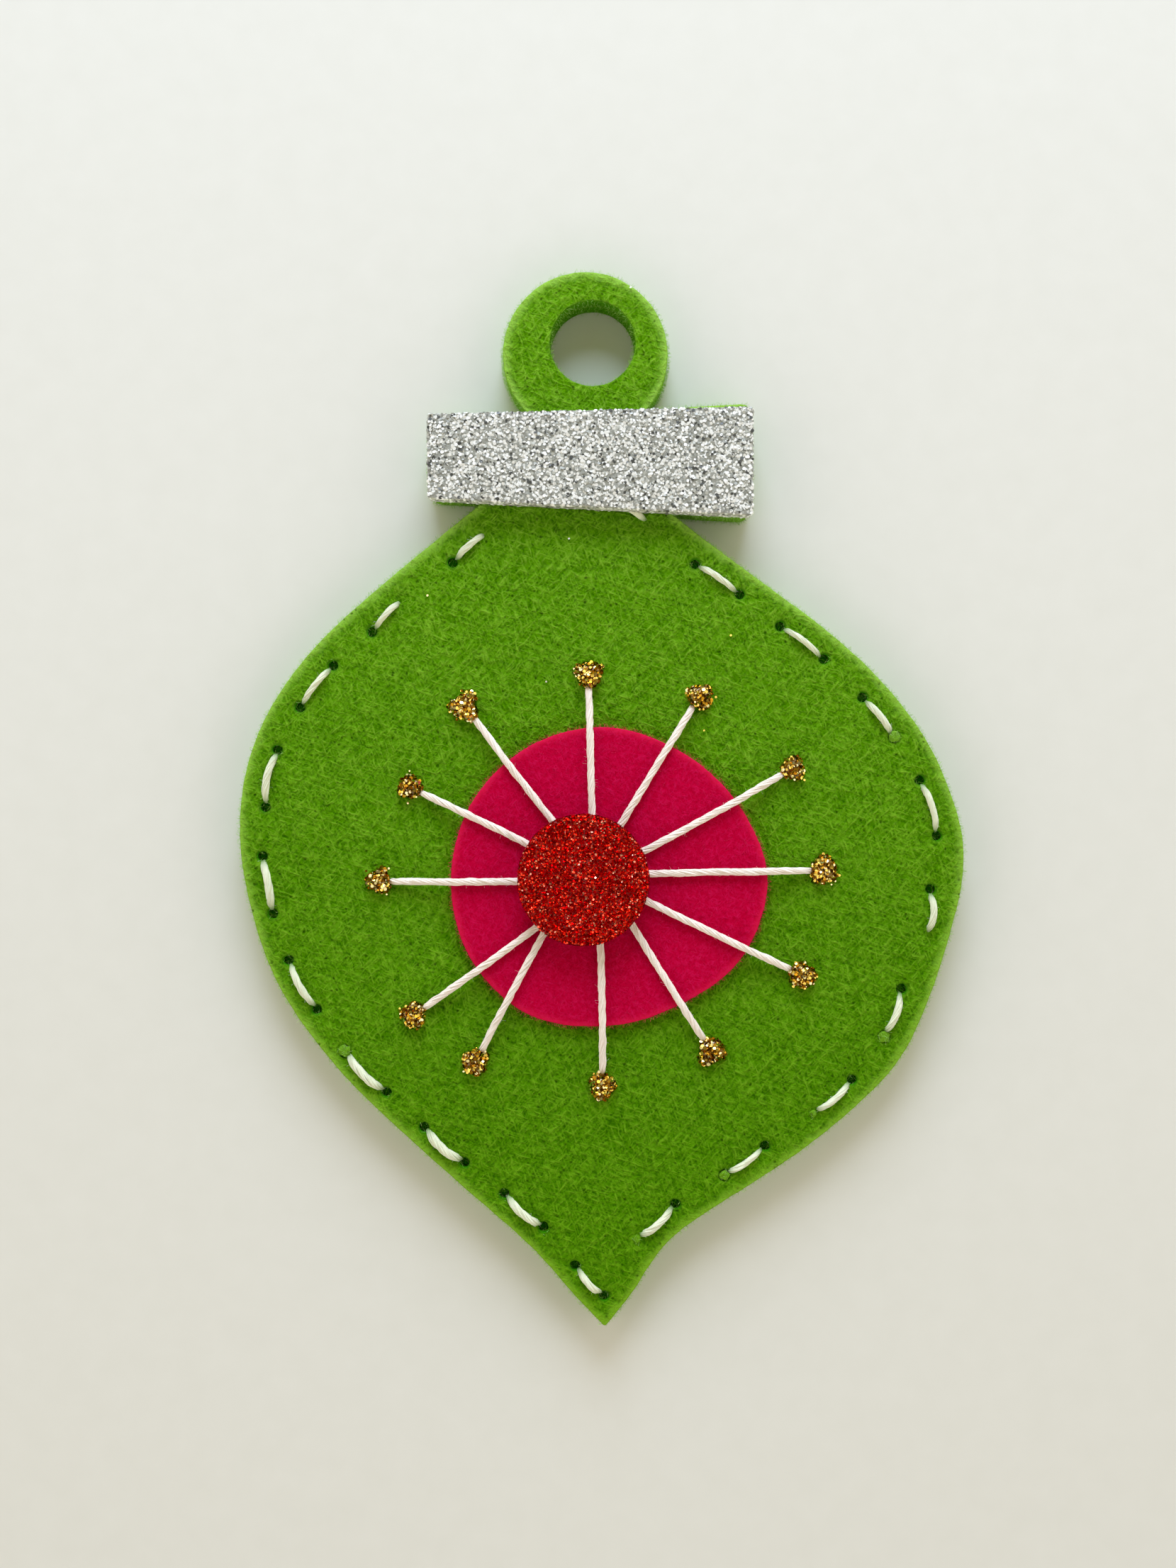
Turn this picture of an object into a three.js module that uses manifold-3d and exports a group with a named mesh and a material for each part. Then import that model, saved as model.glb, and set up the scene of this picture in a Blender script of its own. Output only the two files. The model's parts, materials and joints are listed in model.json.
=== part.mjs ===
// Felt christmas ornament: two layers of green felt cut to one bauble outline and sewn together
// round the edge, with a glitter foam cap band, and a starburst of white floss over a pink felt disc.
// Millimetres. The ornament lies on its back: +Z out of the front face, +Y towards the hanging ring,
// origin under the middle of the back face.
import * as THREE from "three";
import { mergeVertices } from "three/addons/utils/BufferGeometryUtils.js";
import Module from "manifold-3d";

// Green felt
const FELT_THICKNESS = 2.2; // one of the two layers
const BODY_WIDTH = 89.1;
const BODY_LENGTH = 101; // tip to neck
const CAP_WIDTH = 39.6;
const CAP_LEFT_HEIGHT = 9.2;
const CAP_RIGHT_HEIGHT = 13.9; // cut by eye, so one end is taller
const CAP_RISE = 5.8; // neck to the middle of the cap
const CAP_SHIFT = -1.4; // sideways, from the middle of the body
const CAP_CORNER = 1.3;
const RING_DIAMETER = 20.3;
const RING_HOLE_DIAMETER = 10.5;
const RING_SHIFT = -0.6; // sideways, from the middle of the cap
const RING_SINK = 2.9; // overlap of the ring's outer circle with the cap
const RING_HOLE_SHIFT_X = 0.9; // the hole was punched off centre
const RING_HOLE_SHIFT_Y = 1.4;

// Floss and the holes that it runs through
const EDGE_FLOSS_DIAMETER = 0.8;
const STAR_FLOSS_DIAMETER = 0.95;
const FLOSS_CLEARANCE = 0.25; // floss to the wall of its hole
const LANE_CLEARANCE = 0.2; // floss to the sides of the lane that it lies in
const FLOSS_LIFT = 0.1; // floss to the face that it lies on
const STITCH_BOW = 0.35; // middle of a front stitch, outwards from the line between its holes
const TAIL_LENGTH = 6; // end tucked away between the layers
const BEND_STEPS = 2;
const FLOSS_SIDES = 8;
const ROUTE_SLACK = 1e-6; // in steps, so that a ring falls on the point it is meant for

// Cap band of glitter foam
const FOAM_THICKNESS = 2;
const GLUE_THICKNESS = 0.25;
const BAND_WIDTH = 39.5;
const BAND_LEFT_HEIGHT = 10.15;
const BAND_RIGHT_HEIGHT = 13.15;
const BAND_LEFT_DROP = 0.1; // middle of each end, below the middle of the cap
const BAND_RIGHT_DROP = 0.7;
const BAND_CORNER = 0.5;
const BAND_GLUE_INSET = 2.2;

// Starburst
const PINK_DIAMETER = 37.2;
const PINK_THICKNESS = 1.1;
const RED_DIAMETER = 15.7;
const STAR_INNER_RADIUS = 5.6; // where the rays go down, under the red disc
const RAY_OVERHANG = 8; // pink disc's edge to the gold dots
const RAY_LEVEL_LENGTH = 0.5; // a ray stays level this far past the pink disc's edge
const DOT_DIAMETER = 3.25;
const DOT_HEIGHT = 1.3;
const DOT_PROFILE = [[0, 0], [0.94, 0], [1, 0.26], [0.82, 0.7], [0.45, 0.94], [0, 1]]; // shares
const DOT_SIDES = 12;

// Outline of the body from the neck to the tip, each point as a share of the half width and of the
// length above the tip, in percent. The felt was cut by hand, so the two sides differ.
const LEFT_SIDE = [
  [-31.4, 101.1], [-54.5, 92.7], [-80.4, 82.3], [-95.3, 72], [-100, 61.6], [-96.9, 51.2],
  [-88.2, 40.9], [-70.6, 30.5], [-45.6, 20.1], [-19.1, 9.8], [-8.9, 4.6], [0.9, 0],
];
const RIGHT_SIDE = [
  [19.9, 99], [38.4, 92.7], [69.2, 82.3], [89.2, 72], [99, 61.6], [100, 56.4], [98.2, 51.2],
  [91.1, 40.9], [81.7, 32.2], [65.8, 25.3], [50.3, 20.1], [20.3, 11.5], [13.6, 8], [9.1, 4.6], [0.9, 0],
];
const SIDE_STEPS = 44;
const CIRCLE_STEPS = 48;
const CORNER_STEPS = 3;
const HOLE_SIDES = 8;

// Running stitch round the edge, in the same shares: where each front stitch comes up and goes down,
// from under the cap band down the right side to the tip and up the left side.
const EDGE_STITCHES = [
  [[2.6, 100.9], [13.4, 98.1]],
  [[25.9, 93.1], [38.3, 89.4]],
  [[49.5, 85.5], [61.6, 81.5]],
  [[72.4, 76.8], [81, 72]],
  [[88.2, 66.7], [92.9, 59.9]],
  [[91.2, 53.4], [90.2, 47.6]],
  [[83.1, 41.2], [78.2, 35.4]],
  [[69.4, 30.1], [58.5, 26]],
  [[45.3, 22], [34, 18.5]],
  [[20.5, 14.9], [9.9, 10.7]],
  [[0.7, 3.7], [-7.3, 7.4]],
  [[-16, 12.1], [-26.9, 16.2]],
  [[-37.9, 20], [-49.1, 24.3]],
  [[-59.6, 28.6], [-71, 33.6]],
  [[-78.8, 38.7], [-86.7, 44.7]],
  [[-91, 50.4], [-93.9, 57.4]],
  [[-93.1, 63.4], [-89.8, 70.4]],
  [[-83.5, 75.6], [-74.3, 80.7]],
  [[-63.5, 84.8], [-54.9, 88.9]],
  [[-41.2, 93.3], [-31.4, 97.1]],
];

// Radius of the hand-cut pink disc every 30 degrees from +X, in percent of a true circle's.
const PINK_SHARES = [107.3, 100.5, 97.3, 99.5, 100, 100.5, 101.1, 102.7, 102.7, 97.3, 96.8, 104.3];
const PINK_STEPS = 48;
const PINK_PLACE = [0.8, 54.8];
const RED_PLACE = [-5, 54.8];

// Rays clockwise from the upper left: angles of the gold dot and of the ray's two ends about the red
// disc's middle, and the dot's distance out and its width in percent of the mean.
const RAYS = [
  { dot: 124.5, outer: 125, inner: 113.2, reach: 95.9, width: 111 },
  { dot: 88.6, outer: 88.1, inner: 78.4, reach: 94.4, width: 105 },
  { dot: 57.4, outer: 57.9, inner: 53.7, reach: 99.6, width: 98 },
  { dot: 27.6, outer: 28.1, inner: 23, reach: 109.4, width: 92 },
  { dot: 1.8, outer: 1.7, inner: 5.5, reach: 111.3, width: 108 },
  { dot: -23.9, outer: -22.8, inner: -16.5, reach: 110.2, width: 102 },
  { dot: -53.6, outer: -52.3, inner: -36, reach: 99.2, width: 102 },
  { dot: -84.7, outer: -84.8, inner: -69.2, reach: 96.2, width: 98 },
  { dot: -120.4, outer: -118.9, inner: -101.5, reach: 98.9, width: 102 },
  { dot: -141, outer: -140.2, inner: -129, reach: 100.8, width: 98 },
  { dot: -179.1, outer: -178.2, inner: -176.9, reach: 94.7, width: 95 },
  { dot: 152.4, outer: 153.8, inner: 145.7, reach: 90.6, width: 92 },
];

// Levels and centres that follow from the sizes
const FRONT_FACE = 2 * FELT_THICKNESS;
const PINK_FACE = FRONT_FACE + PINK_THICKNESS;
const BAND_BASE = FRONT_FACE + GLUE_THICKNESS;
const RED_BASE = PINK_FACE + STAR_FLOSS_DIAMETER + 2 * FLOSS_LIFT; // the disc lies over the rays
const PUNCH_RADIUS = EDGE_FLOSS_DIAMETER / 2 + FLOSS_CLEARANCE;
const NEEDLE_RADIUS = STAR_FLOSS_DIAMETER / 2 + FLOSS_CLEARANCE;
const RING_SHARE = 0.5 + RING_SHIFT / CAP_WIDTH; // ring's place along the cap's top edge
const CAP_TOP_AT_RING = THREE.MathUtils.lerp(CAP_LEFT_HEIGHT, CAP_RIGHT_HEIGHT, RING_SHARE) / 2;
const RING_RISE = CAP_TOP_AT_RING + RING_DIAMETER / 2 - RING_SINK; // cap's middle to the ring's
const TIP_Y = -(BODY_LENGTH + CAP_RISE + RING_RISE + RING_DIAMETER / 2) / 2;
const CAP_CENTRE = new THREE.Vector2(CAP_SHIFT, TIP_Y + BODY_LENGTH + CAP_RISE);
const RING_CENTRE = new THREE.Vector2(RING_SHIFT, RING_RISE).add(CAP_CENTRE);
const RING_HOLE_CENTRE = new THREE.Vector2(RING_HOLE_SHIFT_X, RING_HOLE_SHIFT_Y).add(RING_CENTRE);
const PINK_CENTRE = onBody(PINK_PLACE);
const STAR_CENTRE = onBody(RED_PLACE);
const MEAN_REACH = PINK_DIAMETER / 2 + RAY_OVERHANG;

const wasm = await Module();
wasm.setup();

// Materials
const greenFelt = new THREE.MeshStandardMaterial({ color: 0x559a14, roughness: 0.95, metalness: 0 });
const pinkFelt = new THREE.MeshStandardMaterial({ color: 0xc00a42, roughness: 0.95, metalness: 0 });
const silverFoam = new THREE.MeshStandardMaterial({ color: 0xb4b4b2, roughness: 0.35, metalness: 0.6 });
const redFoam = new THREE.MeshStandardMaterial({ color: 0x9c0a08, roughness: 0.35, metalness: 0.3 });
const goldGlitter = new THREE.MeshStandardMaterial({ color: 0x9a6a14, roughness: 0.3, metalness: 0.7 });
const whiteFloss = new THREE.MeshStandardMaterial({ color: 0xe6e1d6, roughness: 0.8, metalness: 0 });
const clearGlue = new THREE.MeshStandardMaterial({ color: 0xe8e6dc, roughness: 0.4, metalness: 0 });

// Solids for cutting and joining
const WELD_DISTANCE = 1e-4;

function toSolid(geometry) {
  const bare = geometry.clone();
  bare.deleteAttribute("normal");
  bare.deleteAttribute("uv");
  const merged = mergeVertices(bare, WELD_DISTANCE);
  return new wasm.Manifold(
    new wasm.Mesh({
      numProp: 3,
      vertProperties: merged.attributes.position.array,
      triVerts: new Uint32Array(merged.index.array),
    }),
  );
}

function toGeometry(solid) {
  const { vertProperties, triVerts } = solid.getMesh();
  const geometry = new THREE.BufferGeometry();
  geometry.setAttribute("position", new THREE.BufferAttribute(vertProperties, 3));
  geometry.setIndex(new THREE.BufferAttribute(triVerts, 1));
  geometry.computeVertexNormals();
  return geometry;
}

function cut(geometry, tools) {
  return toGeometry(tools.reduce((solid, tool) => solid.subtract(toSolid(tool)), toSolid(geometry)));
}

// Flat outlines
function onBody([widthShare, lengthShare]) {
  return new THREE.Vector2(
    (widthShare / 100) * (BODY_WIDTH / 2),
    TIP_Y + (lengthShare / 100) * BODY_LENGTH,
  );
}

function polar(centre, degrees, radius) {
  const angle = THREE.MathUtils.degToRad(degrees);
  return new THREE.Vector2(Math.cos(angle), Math.sin(angle)).multiplyScalar(radius).add(centre);
}

function arc(centre, radius, fromDegrees, toDegrees, steps) {
  return Array.from({ length: steps + 1 }, (_, i) =>
    polar(centre, THREE.MathUtils.lerp(fromDegrees, toDegrees, i / steps), radius),
  );
}

function circle(centre, radius, sides) {
  return arc(centre, radius, 0, 360, sides).slice(0, sides);
}

// Straight-sided outline with its corners rounded, given anticlockwise.
function rounded(corners, radius) {
  return corners.flatMap((corner, i) => {
    const before = corners[(i + corners.length - 1) % corners.length].clone().sub(corner).setLength(radius);
    const after = corners[(i + 1) % corners.length].clone().sub(corner).setLength(radius);
    const curve = new THREE.QuadraticBezierCurve(before.add(corner), corner, after.add(corner));
    return curve.getPoints(CORNER_STEPS);
  });
}

// Four-sided outline of the cap and of what lies on it, with upright ends of two heights.
function trapezoid(width, leftHeight, rightHeight, leftDrop = 0, rightDrop = 0) {
  const left = CAP_CENTRE.x - width / 2;
  const right = CAP_CENTRE.x + width / 2;
  return [
    new THREE.Vector2(left, CAP_CENTRE.y - leftDrop - leftHeight / 2),
    new THREE.Vector2(right, CAP_CENTRE.y - rightDrop - rightHeight / 2),
    new THREE.Vector2(right, CAP_CENTRE.y - rightDrop + rightHeight / 2),
    new THREE.Vector2(left, CAP_CENTRE.y - leftDrop + leftHeight / 2),
  ];
}

// Straight lane for floss between two points, square at both ends.
function lane(from, to, diameter, overrun = 0) {
  const along = to.clone().sub(from).normalize();
  const aside = new THREE.Vector2(-along.y, along.x).multiplyScalar(diameter / 2 + LANE_CLEARANCE);
  const start = along.clone().multiplyScalar(-overrun).add(from);
  const end = along.clone().multiplyScalar(overrun).add(to);
  return [
    start.clone().sub(aside),
    end.clone().sub(aside),
    end.clone().add(aside),
    start.clone().add(aside),
  ];
}

function prism(points, bottom, top) {
  const options = { depth: top - bottom, bevelEnabled: false };
  return new THREE.ExtrudeGeometry(new THREE.Shape(points), options).translate(0, 0, bottom);
}

// Floss routes: points along the middle of the floss
class Route extends THREE.Curve {
  constructor(points) {
    super();
    this.points = points;
  }

  getPoint(t, target = new THREE.Vector3()) {
    const place = t * (this.points.length - 1);
    const i = Math.min(Math.floor(place + ROUTE_SLACK), this.points.length - 2);
    return target.lerpVectors(this.points[i], this.points[i + 1], place - i);
  }

  getPointAt(u, target) {
    return this.getPoint(u, target);
  }

  getTangentAt(u, target = new THREE.Vector3()) {
    const i = Math.round(u * (this.points.length - 1));
    const before = this.points[Math.max(i - 1, 0)];
    const after = this.points[Math.min(i + 1, this.points.length - 1)];
    return target.subVectors(after, before).normalize();
  }
}

function floss(points, diameter) {
  const section = new THREE.Shape(circle(new THREE.Vector2(), diameter / 2, FLOSS_SIDES));
  const extrudePath = new Route(points);
  return new THREE.ExtrudeGeometry(section, { steps: points.length - 1, bevelEnabled: false, extrudePath });
}

// Bend of the floss out of a hole and down flat towards another point. side is 1 on a front face
// and -1 on a back face, and level is the height of the floss's middle where it lies.
function bend(hole, towards, level, side, radius) {
  const heading = towards.clone().sub(hole).normalize();
  return Array.from({ length: BEND_STEPS + 1 }, (_, i) => {
    const angle = ((i / BEND_STEPS) * Math.PI) / 2;
    const along = heading.clone().multiplyScalar(radius * (1 - Math.cos(angle))).add(hole);
    return new THREE.Vector3(along.x, along.y, level - side * radius * (1 - Math.sin(angle)));
  });
}

function run(from, to, level, side, radius) {
  return [...bend(from, to, level, side, radius), ...bend(to, from, level, side, radius).reverse()];
}

function lyingAbove(face, diameter) {
  return face + FLOSS_LIFT + diameter / 2;
}

// Middle of a front stitch, which bows towards the edge on the left of its way round.
function bowed(up, down) {
  const along = down.clone().sub(up).normalize();
  const outwards = new THREE.Vector2(-along.y, along.x).multiplyScalar(STITCH_BOW);
  return outwards.add(up.clone().add(down).multiplyScalar(0.5));
}

function tailFrom(hole, aim) {
  return aim.clone().sub(hole).setLength(TAIL_LENGTH).add(hole);
}

function at(point, z) {
  return new THREE.Vector3(point.x, point.y, z);
}

// Running stitch: up and down through both layers, with both ends tucked between them
const edgeStitches = EDGE_STITCHES.map(([up, down]) => ({ up: onBody(up), down: onBody(down) }));
const edgeHoles = edgeStitches.flatMap(({ up, down }) => [up, down]);
const firstHole = edgeHoles.at(0);
const lastHole = edgeHoles.at(-1);
const edgeTails = [firstHole, lastHole].map((hole) => tailFrom(hole, CAP_CENTRE));
const edgeBackRuns = edgeStitches.slice(1).map(({ up }, i) => ({ from: edgeStitches[i].down, to: up }));

function edgeRoute() {
  const front = lyingAbove(FRONT_FACE, EDGE_FLOSS_DIAMETER);
  const inside = lyingAbove(FELT_THICKNESS, EDGE_FLOSS_DIAMETER);
  const back = lyingAbove(0, EDGE_FLOSS_DIAMETER);
  const points = [
    at(edgeTails[0], inside),
    ...bend(firstHole, edgeTails[0], inside, -1, PUNCH_RADIUS).reverse(),
  ];
  edgeStitches.forEach(({ up, down }, i) => {
    const stitch = run(up, down, front, 1, PUNCH_RADIUS);
    stitch.splice(stitch.length / 2, 0, at(bowed(up, down), front));
    points.push(...stitch);
    const next = edgeBackRuns[i];
    if (next) points.push(...run(next.from, next.to, back, -1, PUNCH_RADIUS));
  });
  points.push(...bend(lastHole, edgeTails[1], inside, -1, PUNCH_RADIUS), at(edgeTails[1], inside));
  return points;
}

// Starburst: one length of floss, out along one ray and in along the next, crossing from ray to ray
// between the felt layers
const rays = RAYS.map(({ dot, outer, inner, reach, width }) => {
  const dotReach = (reach / 100) * MEAN_REACH;
  const dotWidth = (width / 100) * DOT_DIAMETER;
  return {
    drop: polar(STAR_CENTRE, dot, dotReach),
    outer: polar(STAR_CENTRE, outer, dotReach - dotWidth / 2 - NEEDLE_RADIUS),
    inner: polar(STAR_CENTRE, inner, STAR_INNER_RADIUS),
    dotWidth,
  };
});
const starTails = [rays.at(0), rays.at(-1)].map(({ outer }) => tailFrom(outer, STAR_CENTRE));
const starHops = rays.slice(1).map((ray, i) => {
  const end = i % 2 ? "outer" : "inner";
  return { from: rays[i][end], to: ray[end] };
});

function pinkOutline() {
  const turn = 360 / PINK_SHARES.length;
  const points = PINK_SHARES.map((share, i) =>
    at(polar(PINK_CENTRE, i * turn, ((share / 100) * PINK_DIAMETER) / 2), 0),
  );
  const curve = new THREE.CatmullRomCurve3(points, true);
  return curve.getPoints(PINK_STEPS).slice(0, PINK_STEPS).map(({ x, y }) => new THREE.Vector2(x, y));
}

// Point where a ray crosses the pink disc's edge, and stays level a little further.
function pastPinkEdge({ inner, outer }) {
  const heading = outer.clone().sub(inner).normalize();
  const crossing = pinkOutline()
    .filter((point) => point.clone().sub(inner).dot(heading) > 0)
    .reduce((best, point) => {
      const offset = (p) => Math.abs(p.clone().sub(inner).cross(heading));
      return offset(point) < offset(best) ? point : best;
    });
  const reach = crossing.clone().sub(inner).dot(heading) + RAY_LEVEL_LENGTH;
  return heading.multiplyScalar(reach).add(inner);
}

function rayRun(ray) {
  const { outer, inner } = ray;
  const low = lyingAbove(FRONT_FACE, STAR_FLOSS_DIAMETER);
  const high = lyingAbove(PINK_FACE, STAR_FLOSS_DIAMETER);
  return [
    ...bend(outer, inner, low, 1, NEEDLE_RADIUS),
    at(pastPinkEdge(ray), high),
    ...bend(inner, outer, high, 1, NEEDLE_RADIUS).reverse(),
  ];
}

function starRoute() {
  const inside = lyingAbove(FELT_THICKNESS, STAR_FLOSS_DIAMETER);
  const firstOuter = rays.at(0).outer;
  const lastOuter = rays.at(-1).outer;
  const points = [
    at(starTails[0], inside),
    ...bend(firstOuter, starTails[0], inside, -1, NEEDLE_RADIUS).reverse(),
  ];
  rays.forEach((ray, i) => {
    points.push(...(i % 2 ? rayRun(ray).reverse() : rayRun(ray)));
    const hop = starHops[i];
    if (hop) points.push(...run(hop.from, hop.to, inside, -1, NEEDLE_RADIUS));
  });
  points.push(...bend(lastOuter, starTails[1], inside, -1, NEEDLE_RADIUS), at(starTails[1], inside));
  return points;
}

// Green felt layers: body, cap and ring in one piece, with the stitch holes punched through
function feltBlank() {
  const left = new THREE.SplineCurve(LEFT_SIDE.map(onBody)).getPoints(SIDE_STEPS);
  const right = new THREE.SplineCurve(RIGHT_SIDE.map(onBody)).getPoints(SIDE_STEPS).slice(0, -1);
  const neckTop = [left[0], right[0]].map(({ x }) => new THREE.Vector2(x, CAP_CENTRE.y));
  const body = [neckTop[0], ...left, ...right.reverse(), neckTop[1]];
  const cap = rounded(trapezoid(CAP_WIDTH, CAP_LEFT_HEIGHT, CAP_RIGHT_HEIGHT), CAP_CORNER);
  const ring = circle(RING_CENTRE, RING_DIAMETER / 2, CIRCLE_STEPS);
  return [body, cap, ring]
    .map((outline) => toSolid(prism(outline, 0, FELT_THICKNESS)))
    .reduce((blank, piece) => blank.add(piece));
}

function through(centre, radius, sides = HOLE_SIDES) {
  return prism(circle(centre, radius, sides), -FELT_THICKNESS, 2 * FELT_THICKNESS);
}

// Groove in a layer's back face where floss lies flush.
function groove(from, to, diameter, overrun) {
  return prism(lane(from, to, diameter, overrun), -FELT_THICKNESS, diameter + 2 * FLOSS_LIFT);
}

const punchedHoles = [
  through(RING_HOLE_CENTRE, RING_HOLE_DIAMETER / 2, CIRCLE_STEPS),
  ...edgeHoles.map((hole) => through(hole, PUNCH_RADIUS)),
];

function backFelt() {
  const grooves = edgeBackRuns.map(({ from, to }) => groove(from, to, EDGE_FLOSS_DIAMETER));
  return cut(toGeometry(feltBlank()), [...punchedHoles, ...grooves]);
}

function frontFelt() {
  const needleHoles = rays
    .flatMap(({ inner, outer }) => [inner, outer])
    .map((hole) => through(hole, NEEDLE_RADIUS));
  const grooves = [
    groove(firstHole, edgeTails[0], EDGE_FLOSS_DIAMETER, LANE_CLEARANCE),
    groove(lastHole, edgeTails[1], EDGE_FLOSS_DIAMETER, LANE_CLEARANCE),
    groove(rays.at(0).outer, starTails[0], STAR_FLOSS_DIAMETER, LANE_CLEARANCE),
    groove(rays.at(-1).outer, starTails[1], STAR_FLOSS_DIAMETER, LANE_CLEARANCE),
    ...starHops.map(({ from, to }) => groove(from, to, STAR_FLOSS_DIAMETER)),
  ];
  return cut(toGeometry(feltBlank()), [...punchedHoles, ...needleHoles, ...grooves]);
}

// Cap band, glued on over the first stitch, which presses a lane into the foam
function firstStitchRoom() {
  const { up, down } = edgeStitches[0];
  const top = FRONT_FACE + FLOSS_LIFT + EDGE_FLOSS_DIAMETER + FLOSS_CLEARANCE;
  return prism(lane(up, down, EDGE_FLOSS_DIAMETER + 2 * STITCH_BOW, PUNCH_RADIUS), FELT_THICKNESS, top);
}

function capBand() {
  const corners = trapezoid(
    BAND_WIDTH, BAND_LEFT_HEIGHT, BAND_RIGHT_HEIGHT, BAND_LEFT_DROP, BAND_RIGHT_DROP,
  );
  const foam = prism(rounded(corners, BAND_CORNER), BAND_BASE, BAND_BASE + FOAM_THICKNESS);
  return cut(foam, [firstStitchRoom()]);
}

function capBandGlue() {
  const both = 2 * BAND_GLUE_INSET;
  const corners = trapezoid(
    BAND_WIDTH - both, BAND_LEFT_HEIGHT - both, BAND_RIGHT_HEIGHT - both, BAND_LEFT_DROP, BAND_RIGHT_DROP,
  );
  return cut(prism(rounded(corners, BAND_CORNER), FRONT_FACE, BAND_BASE), [firstStitchRoom()]);
}

// Discs of the starburst
function pinkDisc() {
  const needleHoles = rays.map(({ inner }) =>
    prism(circle(inner, NEEDLE_RADIUS, HOLE_SIDES), FRONT_FACE - PINK_THICKNESS, PINK_FACE + PINK_THICKNESS),
  );
  return cut(prism(pinkOutline(), FRONT_FACE, PINK_FACE), needleHoles);
}

function redDisc() {
  const outline = circle(STAR_CENTRE, RED_DIAMETER / 2, CIRCLE_STEPS);
  return prism(outline, RED_BASE, RED_BASE + FOAM_THICKNESS);
}

function redDiscGlue() {
  const radius = STAR_INNER_RADIUS - NEEDLE_RADIUS;
  return prism(circle(STAR_CENTRE, radius, CIRCLE_STEPS / 2), PINK_FACE, RED_BASE);
}

// Drop of glitter glue at the outer end of a ray.
function goldDot(width) {
  const profile = DOT_PROFILE.map(
    ([share, rise]) => new THREE.Vector2((share * width) / 2, rise * DOT_HEIGHT),
  );
  return new THREE.LatheGeometry(profile, DOT_SIDES).rotateX(Math.PI / 2);
}

// Assembly
function add(group, name, geometry, material) {
  const mesh = new THREE.Mesh(geometry, material);
  mesh.name = name;
  group.add(mesh);
  return mesh;
}

const ornament = new THREE.Group();
const panels = new THREE.Group();
const cap = new THREE.Group();
const star = new THREE.Group();
ornament.add(panels, cap, star);

add(panels, "back_felt", backFelt(), greenFelt);
add(panels, "front_felt", frontFelt(), greenFelt).position.z = FELT_THICKNESS;
add(panels, "edge_floss", floss(edgeRoute(), EDGE_FLOSS_DIAMETER), whiteFloss);

add(cap, "cap_band_glue", capBandGlue(), clearGlue);
add(cap, "cap_band", capBand(), silverFoam);

add(star, "pink_disc", pinkDisc(), pinkFelt);
add(star, "star_floss", floss(starRoute(), STAR_FLOSS_DIAMETER), whiteFloss);
add(star, "red_disc_glue", redDiscGlue(), clearGlue);
add(star, "red_disc", redDisc(), redFoam);
rays.forEach(({ drop, dotWidth }, i) => {
  const name = `gold_dot_${String(i + 1).padStart(2, "0")}`;
  add(star, name, goldDot(dotWidth), goldGlitter).position.copy(at(drop, FRONT_FACE));
});

export default ornament;
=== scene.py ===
"""Looks of a felt christmas ornament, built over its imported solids.

The ornament lies on its back, as it was photographed. Sizes here are in millimetres until a mesh is
made, and Blender's objects are in metres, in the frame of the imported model.
"""

import json
import logging
import random
from collections.abc import Callable, Iterable, Mapping, Sequence
from dataclasses import dataclass, field
from enum import Enum
from math import atan2, copysign, cos, degrees, pi, radians, sin, sqrt, tan
from typing import Any

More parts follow.
